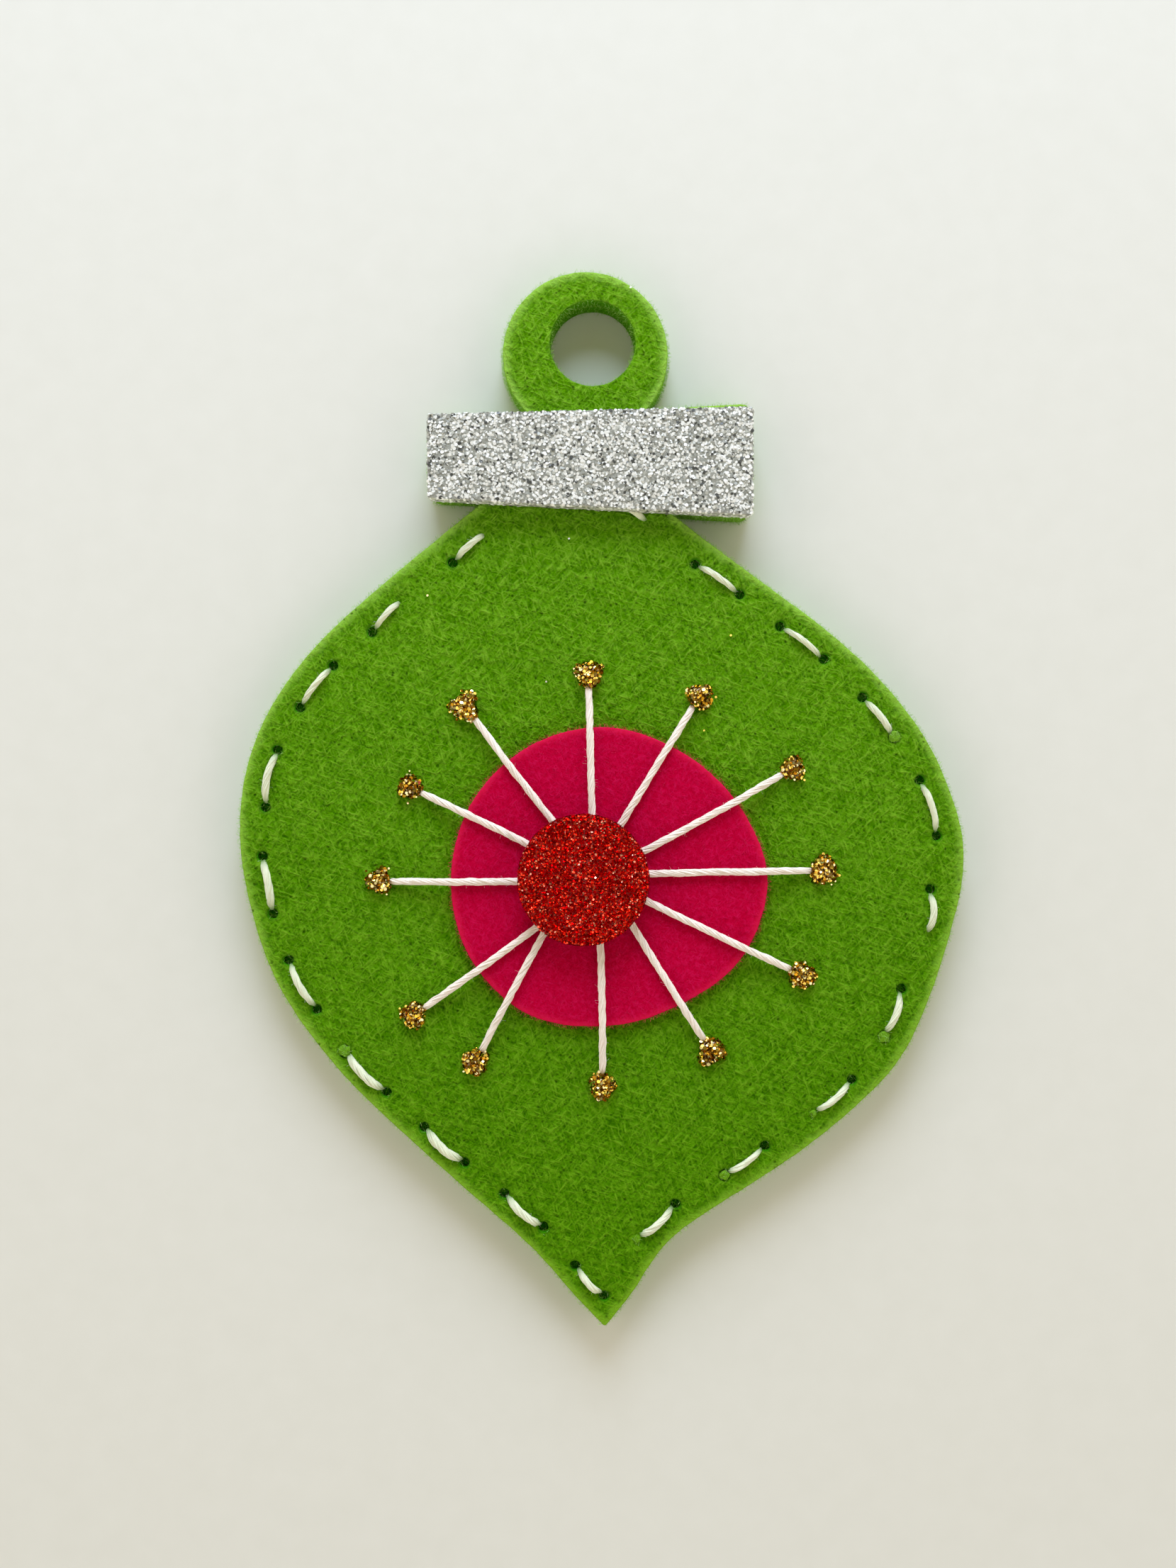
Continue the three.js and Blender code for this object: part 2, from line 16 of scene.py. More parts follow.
import bmesh
import bpy
import numpy as np
from mathutils import Vector, noise
from mathutils.geometry import delaunay_2d_cdt
from numpy.linalg import norm
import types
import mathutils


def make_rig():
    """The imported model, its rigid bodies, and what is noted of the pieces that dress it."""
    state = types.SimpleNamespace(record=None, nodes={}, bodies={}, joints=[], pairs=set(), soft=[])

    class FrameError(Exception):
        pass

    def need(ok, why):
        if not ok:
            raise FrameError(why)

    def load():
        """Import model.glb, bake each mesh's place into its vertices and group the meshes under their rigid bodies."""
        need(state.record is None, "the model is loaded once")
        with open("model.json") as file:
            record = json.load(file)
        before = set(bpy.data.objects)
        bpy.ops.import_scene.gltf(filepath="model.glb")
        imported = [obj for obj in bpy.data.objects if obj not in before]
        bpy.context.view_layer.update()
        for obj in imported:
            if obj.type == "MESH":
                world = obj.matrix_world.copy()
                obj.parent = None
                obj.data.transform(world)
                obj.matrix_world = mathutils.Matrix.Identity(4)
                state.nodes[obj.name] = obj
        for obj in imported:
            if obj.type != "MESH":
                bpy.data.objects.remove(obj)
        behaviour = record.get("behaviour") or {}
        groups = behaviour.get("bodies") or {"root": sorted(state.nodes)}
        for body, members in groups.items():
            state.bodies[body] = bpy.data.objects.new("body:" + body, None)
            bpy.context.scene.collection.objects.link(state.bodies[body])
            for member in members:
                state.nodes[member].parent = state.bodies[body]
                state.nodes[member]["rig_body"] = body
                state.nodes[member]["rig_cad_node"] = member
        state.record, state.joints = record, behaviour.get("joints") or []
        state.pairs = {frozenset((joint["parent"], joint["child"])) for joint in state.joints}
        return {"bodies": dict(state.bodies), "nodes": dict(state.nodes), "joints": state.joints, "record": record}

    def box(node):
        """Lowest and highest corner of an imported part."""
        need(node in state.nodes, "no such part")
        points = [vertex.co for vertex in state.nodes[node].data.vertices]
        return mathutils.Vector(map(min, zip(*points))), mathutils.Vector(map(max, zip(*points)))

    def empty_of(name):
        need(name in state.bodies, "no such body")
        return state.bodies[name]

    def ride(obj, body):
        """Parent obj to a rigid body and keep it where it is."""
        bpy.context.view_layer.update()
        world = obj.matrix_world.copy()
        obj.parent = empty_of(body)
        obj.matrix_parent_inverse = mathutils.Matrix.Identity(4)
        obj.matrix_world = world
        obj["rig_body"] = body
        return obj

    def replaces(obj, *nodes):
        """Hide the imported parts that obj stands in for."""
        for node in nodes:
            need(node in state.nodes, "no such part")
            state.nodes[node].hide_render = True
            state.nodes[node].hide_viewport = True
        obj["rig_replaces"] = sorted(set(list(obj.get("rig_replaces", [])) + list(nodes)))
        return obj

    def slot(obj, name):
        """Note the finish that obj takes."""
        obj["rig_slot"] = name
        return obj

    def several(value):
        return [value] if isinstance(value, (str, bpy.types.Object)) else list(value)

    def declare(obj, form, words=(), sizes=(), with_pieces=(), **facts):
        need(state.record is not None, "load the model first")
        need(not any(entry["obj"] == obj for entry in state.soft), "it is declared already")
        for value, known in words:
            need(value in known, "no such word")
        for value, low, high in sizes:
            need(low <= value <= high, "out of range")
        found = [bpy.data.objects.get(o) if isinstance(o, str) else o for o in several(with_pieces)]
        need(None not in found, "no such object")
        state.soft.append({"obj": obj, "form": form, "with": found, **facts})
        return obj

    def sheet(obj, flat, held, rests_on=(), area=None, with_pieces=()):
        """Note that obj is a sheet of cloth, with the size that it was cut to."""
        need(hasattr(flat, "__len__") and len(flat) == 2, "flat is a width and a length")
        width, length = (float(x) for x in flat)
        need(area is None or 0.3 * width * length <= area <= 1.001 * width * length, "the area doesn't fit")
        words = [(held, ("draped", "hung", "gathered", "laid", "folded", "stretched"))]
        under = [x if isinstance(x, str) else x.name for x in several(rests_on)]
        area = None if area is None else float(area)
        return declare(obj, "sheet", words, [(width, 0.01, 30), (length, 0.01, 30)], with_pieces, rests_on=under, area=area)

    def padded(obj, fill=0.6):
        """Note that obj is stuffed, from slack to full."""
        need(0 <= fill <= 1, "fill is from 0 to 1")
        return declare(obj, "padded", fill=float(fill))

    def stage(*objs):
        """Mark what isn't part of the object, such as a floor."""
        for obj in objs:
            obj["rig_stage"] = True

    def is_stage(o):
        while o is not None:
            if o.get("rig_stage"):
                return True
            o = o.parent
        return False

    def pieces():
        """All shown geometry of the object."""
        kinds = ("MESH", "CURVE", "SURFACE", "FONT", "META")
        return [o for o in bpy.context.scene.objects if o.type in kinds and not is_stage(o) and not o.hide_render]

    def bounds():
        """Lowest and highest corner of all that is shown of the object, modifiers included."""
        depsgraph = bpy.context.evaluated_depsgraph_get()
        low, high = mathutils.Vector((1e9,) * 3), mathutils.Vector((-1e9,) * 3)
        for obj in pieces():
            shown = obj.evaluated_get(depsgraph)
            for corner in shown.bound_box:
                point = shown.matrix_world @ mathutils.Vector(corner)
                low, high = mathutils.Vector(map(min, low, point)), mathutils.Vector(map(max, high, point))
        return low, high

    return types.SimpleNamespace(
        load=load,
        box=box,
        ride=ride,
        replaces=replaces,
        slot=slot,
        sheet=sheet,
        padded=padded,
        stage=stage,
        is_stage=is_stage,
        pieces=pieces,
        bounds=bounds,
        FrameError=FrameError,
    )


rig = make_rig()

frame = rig.load()
CAD_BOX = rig.bounds()

LOG = logging.getLogger("ornament")
MM = 0.001
BODY = "root"
SIZE_FILE = "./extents.json"
TIP_REACH = 65 * MM  # middle of the ornament to its tip
WELD = 0.003 * MM  # corners of a solid closer than this are one
LEVEL = 0.01 * MM  # faces this close to the top belong to the front
MIDDLE = (0.5, 0.5, 0.5)  # mean colour of a noise pattern
FLAKE_SIDES = 6
INNER_TRIANGLES = 1  # what is asked of the triangulation
SAME_POINT = 1e-5  # corners this close are one for it
CUT_SEED, BACK_SEED, FINE_SEED = 7.3, 31.7, 3.1  # added to a sheet's seed for each of its patterns
NAP_SEEDS = 100  # seeds that each sheet has for its naps

Colour = tuple[float, float, float, float]
Range = tuple[float, float]
Triple = tuple[float, float, float]
Spots = tuple[tuple[float, float], ...]
Inputs = Mapping[Any, Any] | None
Points = np.ndarray
Piece = bpy.types.Object
Material = bpy.types.Material
Socket = bpy.types.NodeSocket


class Slot(Enum):
    """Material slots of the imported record."""

    GREEN_FELT = "green_felt"
    PINK_FELT = "pink_felt"
    WHITE_FLOSS = "white_floss"
    SILVER_FOAM = "silver_glitter_foam"
    RED_FOAM = "red_glitter_foam"
    GOLD_GLUE = "gold_glitter_glue"
    CLEAR_GLUE = "clear_glue"


class Facing(Enum):
    """Part of a piece that a coat covers: least and greatest upward slope of its faces."""

    FRONT = (0.75, 1.1)
    EDGE = (-0.75, 0.75)
    BACK = (-1.1, -0.75)
    UPPER = (0.1, 1.1)
    DOME = (-0.2, 1.1)


class Cut(Enum):
    """Kinds of rim: paleness halfway down its side and at its top, partly painted highlight where the cut edge catches
    the light, fuzziness, and painted shade down its side.
    """

    # The last number of each kind is the painted shade down the side of the cut.
    OUTLINE = (0.3, 0.7, 1.0, 0.0)
    OPENING = (0.0, 0.2, 0.6, 0.6)
    NEEDLE = (0.0, 0.1, 0.3, 0.9)

    def __init__(self, rim_low: float, rim_high: float, bare: float, deep: float) -> None:
        """Names the four numbers of a kind."""
        self.rim_low, self.rim_high, self.bare, self.deep = rim_low, rim_high, bare, deep


Rim = tuple[Points, Points, float, Cut]


def linear(code: str) -> Colour:
    """Turns a colour as it looks in a picture into Blender's linear values.

    Args:
        code: Six hexadecimal digits, red first.

    Returns:
        Red, green, blue and an alpha of 1.
    """
    shares = [int(code[i : i + 2], 16) / 255 for i in (0, 2, 4)]
    values = [s / 12.92 if s <= 0.04045 else ((s + 0.055) / 1.055) ** 2.4 for s in shares]
    return (values[0], values[1], values[2], 1.0)


class NodeBench:
    """Adds nodes to one node tree and joins them."""

    def __init__(self, tree: bpy.types.NodeTree) -> None:
        """Keeps the tree that nodes are added to."""
        self.tree = tree

    def add(self, kind: str, inputs: Inputs = None, **settings: Any) -> bpy.types.Node:
        """Adds one node.

        Args:
            kind: Blender's type name of the node.
            inputs: A value, or another node's output, for each input by name or by index.
            settings: Properties of the node, set before its inputs.

        Returns:
            The new node.
        """
        node = self.tree.nodes.new(kind)
        for name, value in settings.items():
            setattr(node, name, value)
        for key, value in (inputs or {}).items():
            socket = node.inputs[key] if isinstance(key, int) else self.socket(node.inputs, key)
            if isinstance(value, Socket):
                self.tree.links.new(value, socket)
            else:
                socket.default_value = value
        return node

    @staticmethod
    def socket(sockets: Iterable[Socket], name: str) -> Socket:
        """Finds the socket of that name that the node's settings leave in use."""
        return next(s for s in sockets if s.name == name and s.enabled)

    def out(self, kind: str, name: str, inputs: Inputs = None, **settings: Any) -> Any:
        """Adds a node and returns its output of that name."""
        return self.socket(self.add(kind, inputs, **settings).outputs, name)

    def maths(self, operation: str, *values: Any) -> Socket:
        """Adds a sum on numbers and returns its result."""
        inputs = dict(enumerate(values))
        return self.out("ShaderNodeMath", "Value", inputs, operation=operation)

    def vector(self, operation: str, *values: Any, scale: Any = None) -> Socket:
        """Adds a sum on vectors.

        Args:
            operation: Blender's name of the sum.
            values: The vectors, in order.
            scale: The number that a vector is scaled by, where the sum takes one.

        Returns:
            The result.
        """
        inputs: dict[Any, Any] = dict(enumerate(values))
        if scale is not None:
            inputs["Scale"] = scale
        return self.out("ShaderNodeVectorMath", "Vector", inputs, operation=operation)

    def noise(self, place: Any, scale: float, detail: float = 2.0, output: str = "Fac") -> Any:
        """Adds a noise pattern and returns its value or its colour."""
        inputs = {"Vector": place, "Scale": scale, "Detail": detail}
        return self.out("ShaderNodeTexNoise", output, inputs)

    def sway(self, place: Any, scale: float, detail: float) -> Socket:
        """Adds a random shift, as often one way as the other, and returns it."""
        return self.vector("SUBTRACT", self.noise(place, scale, detail, "Color"), MIDDLE)

    def spread(
        self, value: Any, low: float, high: float, start: float = 0.0, end: float = 1.0
    ) -> Any:
        """Maps the range from low to high onto the one from start to end, and stays within it."""
        inputs = {"Value": value, "From Min": low, "From Max": high, "To Min": start, "To Max": end}
        return self.out("ShaderNodeMapRange", "Result", inputs, clamp=True)

    def blend(self, share: Any, first: Any, second: Any, blend_type: str = "MIX") -> Any:
        """Mixes two colours by a share that varies over the surface."""
        inputs = {"Factor": share, "A": first, "B": second}
        return self.out("ShaderNodeMix", "Result", inputs, data_type="RGBA", blend_type=blend_type)


class MaterialBench(NodeBench):
    """Builds one material round a Principled shader."""

    def __init__(self, name: str, **constants: Any) -> None:
        """Starts a material.

        Args:
            name: Name of the material.
            constants: Shader inputs that are the same all over, with _ for each space.
        """
        self.material = bpy.data.materials.new(name)
        self.material.use_nodes = True
        super().__init__(self.material.node_tree)
        self.shader = self.tree.nodes["Principled BSDF"]
        for key, value in constants.items():
            self.shader.inputs[key.replace("_", " ")].default_value = value

    @property
    def place(self) -> Socket:
        """Object coordinates, in metres."""
        return self.out("ShaderNodeTexCoord", "Object")

    def attribute(self, name: str) -> Socket:
        """Value that the mesh holds under that name."""
        return self.out("ShaderNodeAttribute", "Fac", attribute_name=name)

    def towards_tip(self) -> Socket:
        """Share that is 0 at the cap of the ornament and 1 at its tip."""
        along = self.out("ShaderNodeSeparateXYZ", "Y", {"Vector": self.place})
        return self.spread(along, TIP_REACH, -TIP_REACH)

    def bump(self, height: Any, strength: float, distance: float) -> None:
        """Raises the surface by a pattern, up to a distance in metres."""
        inputs = {"Height": height, "Strength": strength, "Distance": distance}
        self.drive("Normal", self.out("ShaderNodeBump", "Normal", inputs))

    def drive(self, name: str, source: Socket) -> None:
        """Joins a pattern to one of the shader's inputs."""
        self.tree.links.new(source, self.shader.inputs[name])


@dataclass(frozen=True)
class FeltFinish:
    """Needled felt: matted fibres, small pits darkened with painted shade, and a paler fuzzy rim where it was cut,
    which is partly painted highlight.

    Lengths are in millimetres, and each range is the part of a pattern that the finish uses.

    Attributes:
        mottle: Share of the dark colour where the felt is thin.
        tip_painted_shade: What the colour is multiplied by towards the tip: painted shade, darker and more saturated
            at the tip.
        thin_shares: What the cloud, the matting and the grain add to how thin the felt looks.
    """

    name: str
    base: str
    light: str
    dark: str
    rim: str
    pit: str
    # Painted shade down the sides of holes and openings, and the green deepest in the needle holes.
    wall_shade: str
    hole: str
    mottle: float = 0.48
    tip_painted_shade: Colour = (0.66, 0.75, 0.24, 1.0)
    fibre_length: float = 2.2
    fibre_width: float = 0.24
    fibre_share: float = 0.64
    pit_share: float = 0.8
    pit_spacing: float = 0.9
    relief: float = 0.55
    relief_height: float = 0.2
    angles: tuple[float, float, float] = (0.35, 1.25, 2.3)
    sway: float = 0.6
    sway_scale: float = 700.0
    streak_detail: float = 0.6
    fibre_range: Range = (0.48, 0.8)
    gap_range: Range = (0.46, 0.28)
    pit_range: Range = (0.04, 0.25)
    patch_scale: float = 420.0
    patch_range: Range = (0.42, 0.58)
    cloud_scale: float = 150.0
    cloud_range: Range = (0.35, 0.68)
    matting_scale: float = 1300.0
    matting_range: Range = (0.36, 0.64)
    grain_scale: float = 3200.0
    grain_range: Range = (0.46, 0.74)
    thin_shares: tuple[float, float, float] = (0.2, 0.3, 0.9)
    bare_strand: float = 0.35
    full_matting: float = 0.8
    hole_range: Range = (0.5, 0.8)

    def fibres(self, bench: MaterialBench, place: Any) -> tuple[Any, Any]:
        """Streaks of fibres that cross at a few angles.

        Args:
            bench: The material that is being built.
            place: Coordinates, already bent a little so that no streak is straight.

        Returns:
            A socket that is high on the fibres and one that is high in the gaps between them.
        """
        across = 1 / (self.fibre_width * MM)
        scale = (1 / (self.fibre_length * MM), across, across)
        streaks = []
        for angle in self.angles:
            inputs = {"Vector": place, "Rotation": (0, 0, angle)}
            turned = bench.out("ShaderNodeMapping", "Vector", inputs)
            drawn = bench.vector("MULTIPLY", turned, scale)
            streaks.append(bench.noise(drawn, 1.0, self.streak_detail))
        top, low = (
            bench.maths(choice, bench.maths(choice, streaks[0], streaks[1]), streaks[2])
            for choice in ("MAXIMUM", "MINIMUM")
        )
        return bench.spread(top, *self.fibre_range), bench.spread(low, *self.gap_range)

    def pits(self, bench: MaterialBench, place: Any) -> Any:
        """Small pits left by the felting needles, in some places only, darkened with painted shade.

        Args:
            bench: The material that is being built.
            place: Coordinates, bent as for the fibres.

        Returns:
            A socket that is high in the pits.
        """
        inputs = {"Vector": place, "Scale": 1 / (self.pit_spacing * MM)}
        distance = bench.out("ShaderNodeTexVoronoi", "Distance", inputs)
        pit = bench.spread(distance, *self.pit_range, 1.0, 0.0)
        some = bench.spread(bench.noise(place, self.patch_scale), *self.patch_range)
        return bench.maths("MULTIPLY", pit, some)

    def material(self) -> Material:
        """Builds the material.

        Returns:
            The material, which reads "rim" and "deep" from the mesh.
        """
        bench = MaterialBench(
            self.name, Roughness=0.95, Specular_IOR_Level=0.0,
            Sheen_Weight=0.12, Sheen_Roughness=0.6, Sheen_Tint=linear(self.light),
        )
        place = bench.place
        sway = bench.sway(place, self.sway_scale, 1.0)
        bent = bench.vector("ADD", place, bench.vector("SCALE", sway, scale=self.sway * MM))
        fibres, gaps = self.fibres(bench, bent)
        pits = self.pits(bench, bent)
        cloud = bench.spread(bench.noise(place, self.cloud_scale, 3.0), *self.cloud_range)
        matting = bench.spread(bench.noise(bent, self.matting_scale, 3.0), *self.matting_range)
        by_cloud, by_matting, by_grain = self.thin_shares
        thin = bench.maths("MULTIPLY", bench.maths("SUBTRACT", 1.0, matting), by_matting)
        thin = bench.maths("ADD", bench.maths("MULTIPLY", cloud, by_cloud), thin)
        thin = bench.maths("ADD", thin, gaps)
        grain = bench.noise(bent, self.grain_scale, 0.0)
        thin = bench.maths("ADD", thin, bench.spread(grain, *self.grain_range, 0.0, by_grain))
        thin = bench.maths("MULTIPLY", thin, self.mottle)
        colour = bench.blend(thin, linear(self.base), linear(self.dark))
        # Paler rim: partly the cut fibres' own colour, partly painted highlight where the edge catches the light.
        colour = bench.blend(bench.attribute("rim"), colour, linear(self.rim))
        matted = bench.spread(matting, 0.0, self.full_matting, self.bare_strand, 1.0)
        strands = bench.maths("MULTIPLY", fibres, matted)
        over = bench.maths("MULTIPLY", strands, self.fibre_share)
        colour = bench.blend(over, colour, linear(self.light))
        # Painted shade in the needle pits.
        under = bench.maths("MULTIPLY", pits, self.pit_share)
        colour = bench.blend(under, colour, linear(self.pit))
        # Painted shade down the sides of holes and openings, passing into the felt's green deepest in the needle
        # holes.
        deep = bench.attribute("deep")
        deepest = bench.spread(deep, *self.hole_range)
        inner = bench.blend(deepest, linear(self.wall_shade), linear(self.hole))
        colour = bench.blend(deep, colour, inner)
        # Painted shade: darker and more saturated towards the tip.
        colour = bench.blend(bench.towards_tip(), colour, self.tip_painted_shade, "MULTIPLY")
        bench.drive("Base Color", colour)
        height = bench.maths("SUBTRACT", bench.maths("ADD", strands, matting), pits)
        bench.bump(height, self.relief, self.relief_height * MM)
        return bench.material


@dataclass(frozen=True)
class FibreFinish:
    """Single loose fibres, each of its own shade."""

    name: str
    dark: str
    light: str
    tip_painted_shade: Colour = (1.0, 1.0, 1.0, 1.0)

    def material(self) -> Material:
        """Builds the material.

        Returns:
            The material, which reads "shade" from the mesh.
        """
        bench = MaterialBench(self.name, Roughness=0.85, Specular_IOR_Level=0.0)
        colour = bench.blend(bench.attribute("shade"), linear(self.dark), linear(self.light))
        # Painted shade towards the tip, as on the felt.
        colour = bench.blend(bench.towards_tip(), colour, self.tip_painted_shade, "MULTIPLY")
        bench.drive("Base Color", colour)
        return bench.material


@dataclass(frozen=True)
class FlossFinish:
    """Soft cotton floss with a slight silky gloss along its strands."""

    name: str
    light: str
    dark: str
    # Painted shade in the felt's green, where the floss goes in.
    sunk: str
    grain_scale: float = 2600.0
    grain_range: Range = (0.4, 0.7)
    strand_scale: float = 9000.0
    relief: float = 0.35
    relief_height: float = 0.04

    def material(self) -> Material:
        """Builds the material, which takes on a painted shade in the felt's green where the floss goes in.

        Returns:
            The material, which reads "strand" and "dip" from the mesh.
        """
        bench = MaterialBench(
            self.name, Roughness=0.62, Specular_IOR_Level=0.3,
            Sheen_Weight=0.3, Sheen_Roughness=0.4,
        )
        place = bench.place
        grain = bench.spread(bench.noise(place, self.grain_scale, 3.0), *self.grain_range)
        both = bench.maths("ADD", grain, bench.attribute("strand"))
        share = bench.maths("MULTIPLY", both, 0.5)
        colour = bench.blend(share, linear(self.light), linear(self.dark))
        # Painted shade in the felt's green towards the holes.
        bench.drive("Base Color", bench.blend(bench.attribute("dip"), colour, linear(self.sunk)))
        strands = bench.noise(place, self.strand_scale, 2.0)
        bench.bump(strands, self.relief, self.relief_height * MM)
        return bench.material


@dataclass(frozen=True)
class FoamFinish:
    """Foam sheet: a printed, glue-wet face under the glitter and pale porous cut sides."""

    name: str
    face: str
    face_dark: str
    side: str
    gloss: float
    cloud_scale: float = 900.0
    cloud_range: Range = (0.35, 0.65)
    pore_scale: float = 4200.0
    pore_range: Range = (0.45, 0.6)
    relief: float = 0.5
    relief_height: float = 0.08

    def material(self) -> Material:
        """Builds the material.

        Returns:
            The material, which reads "cut" from the mesh.
        """
        bench = MaterialBench(self.name, Roughness=0.55, Coat_Weight=self.gloss, Coat_Roughness=0.3)
        place = bench.place
        cloud = bench.spread(bench.noise(place, self.cloud_scale, 3.0), *self.cloud_range)
        face = bench.blend(cloud, linear(self.face), linear(self.face_dark))
        pores = bench.spread(bench.noise(place, self.pore_scale, 2.0), *self.pore_range)
        colour = bench.blend(bench.attribute("cut"), face, linear(self.side))
        bench.drive("Base Color", colour)
        bench.bump(pores, self.relief, self.relief_height * MM)
        return bench.material


@dataclass(frozen=True)
class GlitterFinish:
    """Bright flakes, each of one of a few shades, some of them painted glints and painted dark reflections.

    Attributes:
        shades: The share of flakes up to which each shade is used, and the shade; the brightest are painted glints,
            and the darkest partly painted dark reflections.
    """

    name: str
    shades: tuple[tuple[float, str], ...]
    metal: float
    roughness: float
    gloss: float = 0.0

    def material(self) -> Material:
        """Builds the material.

        Returns:
            The material, which reads "spark" from the mesh.
        """
        bench = MaterialBench(
            self.name, Metallic=self.metal, Roughness=self.roughness, Specular_IOR_Level=self.gloss
        )
        # Painted glints and painted dark reflections: one shade for each flake.
        ramp = bench.add("ShaderNodeValToRGB", {"Fac": bench.attribute("spark")})
        ramp.color_ramp.interpolation = "CONSTANT"
        stops = ramp.color_ramp.elements
        starts = [0.0, *(share for share, _ in self.shades[:-1])]
        while len(stops) < len(starts):
            stops.new(1.0)
        for stop, start, (_, code) in zip(stops, starts, self.shades):
            stop.position = start
            stop.color = linear(code)
        bench.drive("Base Color", ramp.outputs["Color"])
        return bench.material


@dataclass(frozen=True)
class GlueFinish:
    """Set glue, clouded a little, with a smooth skin."""

    name: str
    base: str
    cloud: str
    cloud_scale: float = 1500.0
    cloud_range: Range = (0.35, 0.7)

    def material(self) -> Material:
        """Builds the material.

        Returns:
            The material.
        """
        bench = MaterialBench(self.name, Roughness=0.3, Coat_Weight=0.4)
        share = bench.spread(bench.noise(bench.place, self.cloud_scale, 3.0), *self.cloud_range)
        bench.drive("Base Color", bench.blend(share, linear(self.base), linear(self.cloud)))
        return bench.material


@dataclass(frozen=True)
class PaperFinish:
    """Plain pale paper that the ornament lies on."""

    name: str = "pale_paper"
    base: str = "eae9e6"
    tooth: str = "e5e4e0"
    tooth_scale: float = 260.0

    def material(self) -> Material:
        """Builds the material.

        Returns:
            The material.
        """
        bench = MaterialBench(self.name, Roughness=0.9, Specular_IOR_Level=0.1)
        share = bench.noise(bench.place, self.tooth_scale, 3.0)
        bench.drive("Base Color", bench.blend(share, linear(self.base), linear(self.tooth)))
        return bench.material


GREEN_FELT = FeltFinish(
    "green_needled_felt", base="5e9a03", light="96c842", dark="326600", rim="a8d860", pit="0a2800",
    wall_shade="2a6400", hole="3c9a0c",
)
GREEN_FIBRE = FibreFinish(
    "green_felt_fibre", dark="508c02", light="72b01c", tip_painted_shade=GREEN_FELT.tip_painted_shade
)
# Fuzz on the cut edges in pale greens, partly painted highlight.
RIM_FIBRE = FibreFinish("green_rim_fibre", dark="8cc440", light="c0e48c")
PINK_FELT = FeltFinish(
    "pink_fine_felt", base="c20035", light="e0246c", dark="a60028", rim="dc1c48", pit="a00024",
    wall_shade="a00024", hole="a00024", mottle=0.35, tip_painted_shade=(1.0, 1.0, 1.0, 1.0), fibre_length=0.8,
    fibre_width=0.16, fibre_share=0.4, pit_share=0.15, pit_spacing=1.1, relief=0.2,
)
PINK_FIBRE = FibreFinish("pink_felt_fibre", dark="d0063c", light="e43c6c")
# Cream floss tinted after the felt it lies on: painted light bounced from the green felt and from the pink disc.
EDGE_FLOSS = FlossFinish("white_floss_over_green", light="f0f4dc", dark="e2e6ca", sunk="6c9048")
STAR_FLOSS = FlossFinish("white_floss_over_pink", light="fff5ee", dark="f8e8de", sunk="f8e8de")
FLOSS_FUZZ = FibreFinish("white_floss_fuzz", dark="faf4ee", light="ffffff")
SILVER_FOAM = FoamFinish(
    "silver_foam_sheet", face="b4b5af", face_dark="a0a19c", side="d2d0c4", gloss=0.3
)
RED_FOAM = FoamFinish(
    "red_foam_sheet", face="b00808", face_dark="8c0404", side="a40a0a", gloss=0.05
)
# The pale shades are painted glints, and the darkest partly painted dark reflections.
SILVER_GLITTER = GlitterFinish(
    "silver_glitter",
    ((0.08, "505150"), (0.36, "a8a9a4"), (0.47, "cacbc6"), (1.0, "ffffff")),
    metal=0.1, roughness=0.35, gloss=0.5,
)
RED_GLITTER = GlitterFinish(
    "red_glitter",
    ((0.52, "980002"), (0.75, "b80202"), (0.87, "f62a14"), (0.96, "ff5236"), (1.0, "ffa890")),
    metal=0.92, roughness=0.27,
)
GOLD_GLITTER = GlitterFinish(
    "gold_glitter",
    ((0.28, "744606"), (0.5, "d09a28"), (0.8, "ffda68"), (1.0, "fff0b8")),
    metal=1.0, roughness=0.18,
)
GOLD_GLUE = GlueFinish("amber_glue", base="7c5408", cloud="a07420")
CLEAR_GLUE = GlueFinish("set_craft_glue", base="d8d4c6", cloud="e4e1d6")


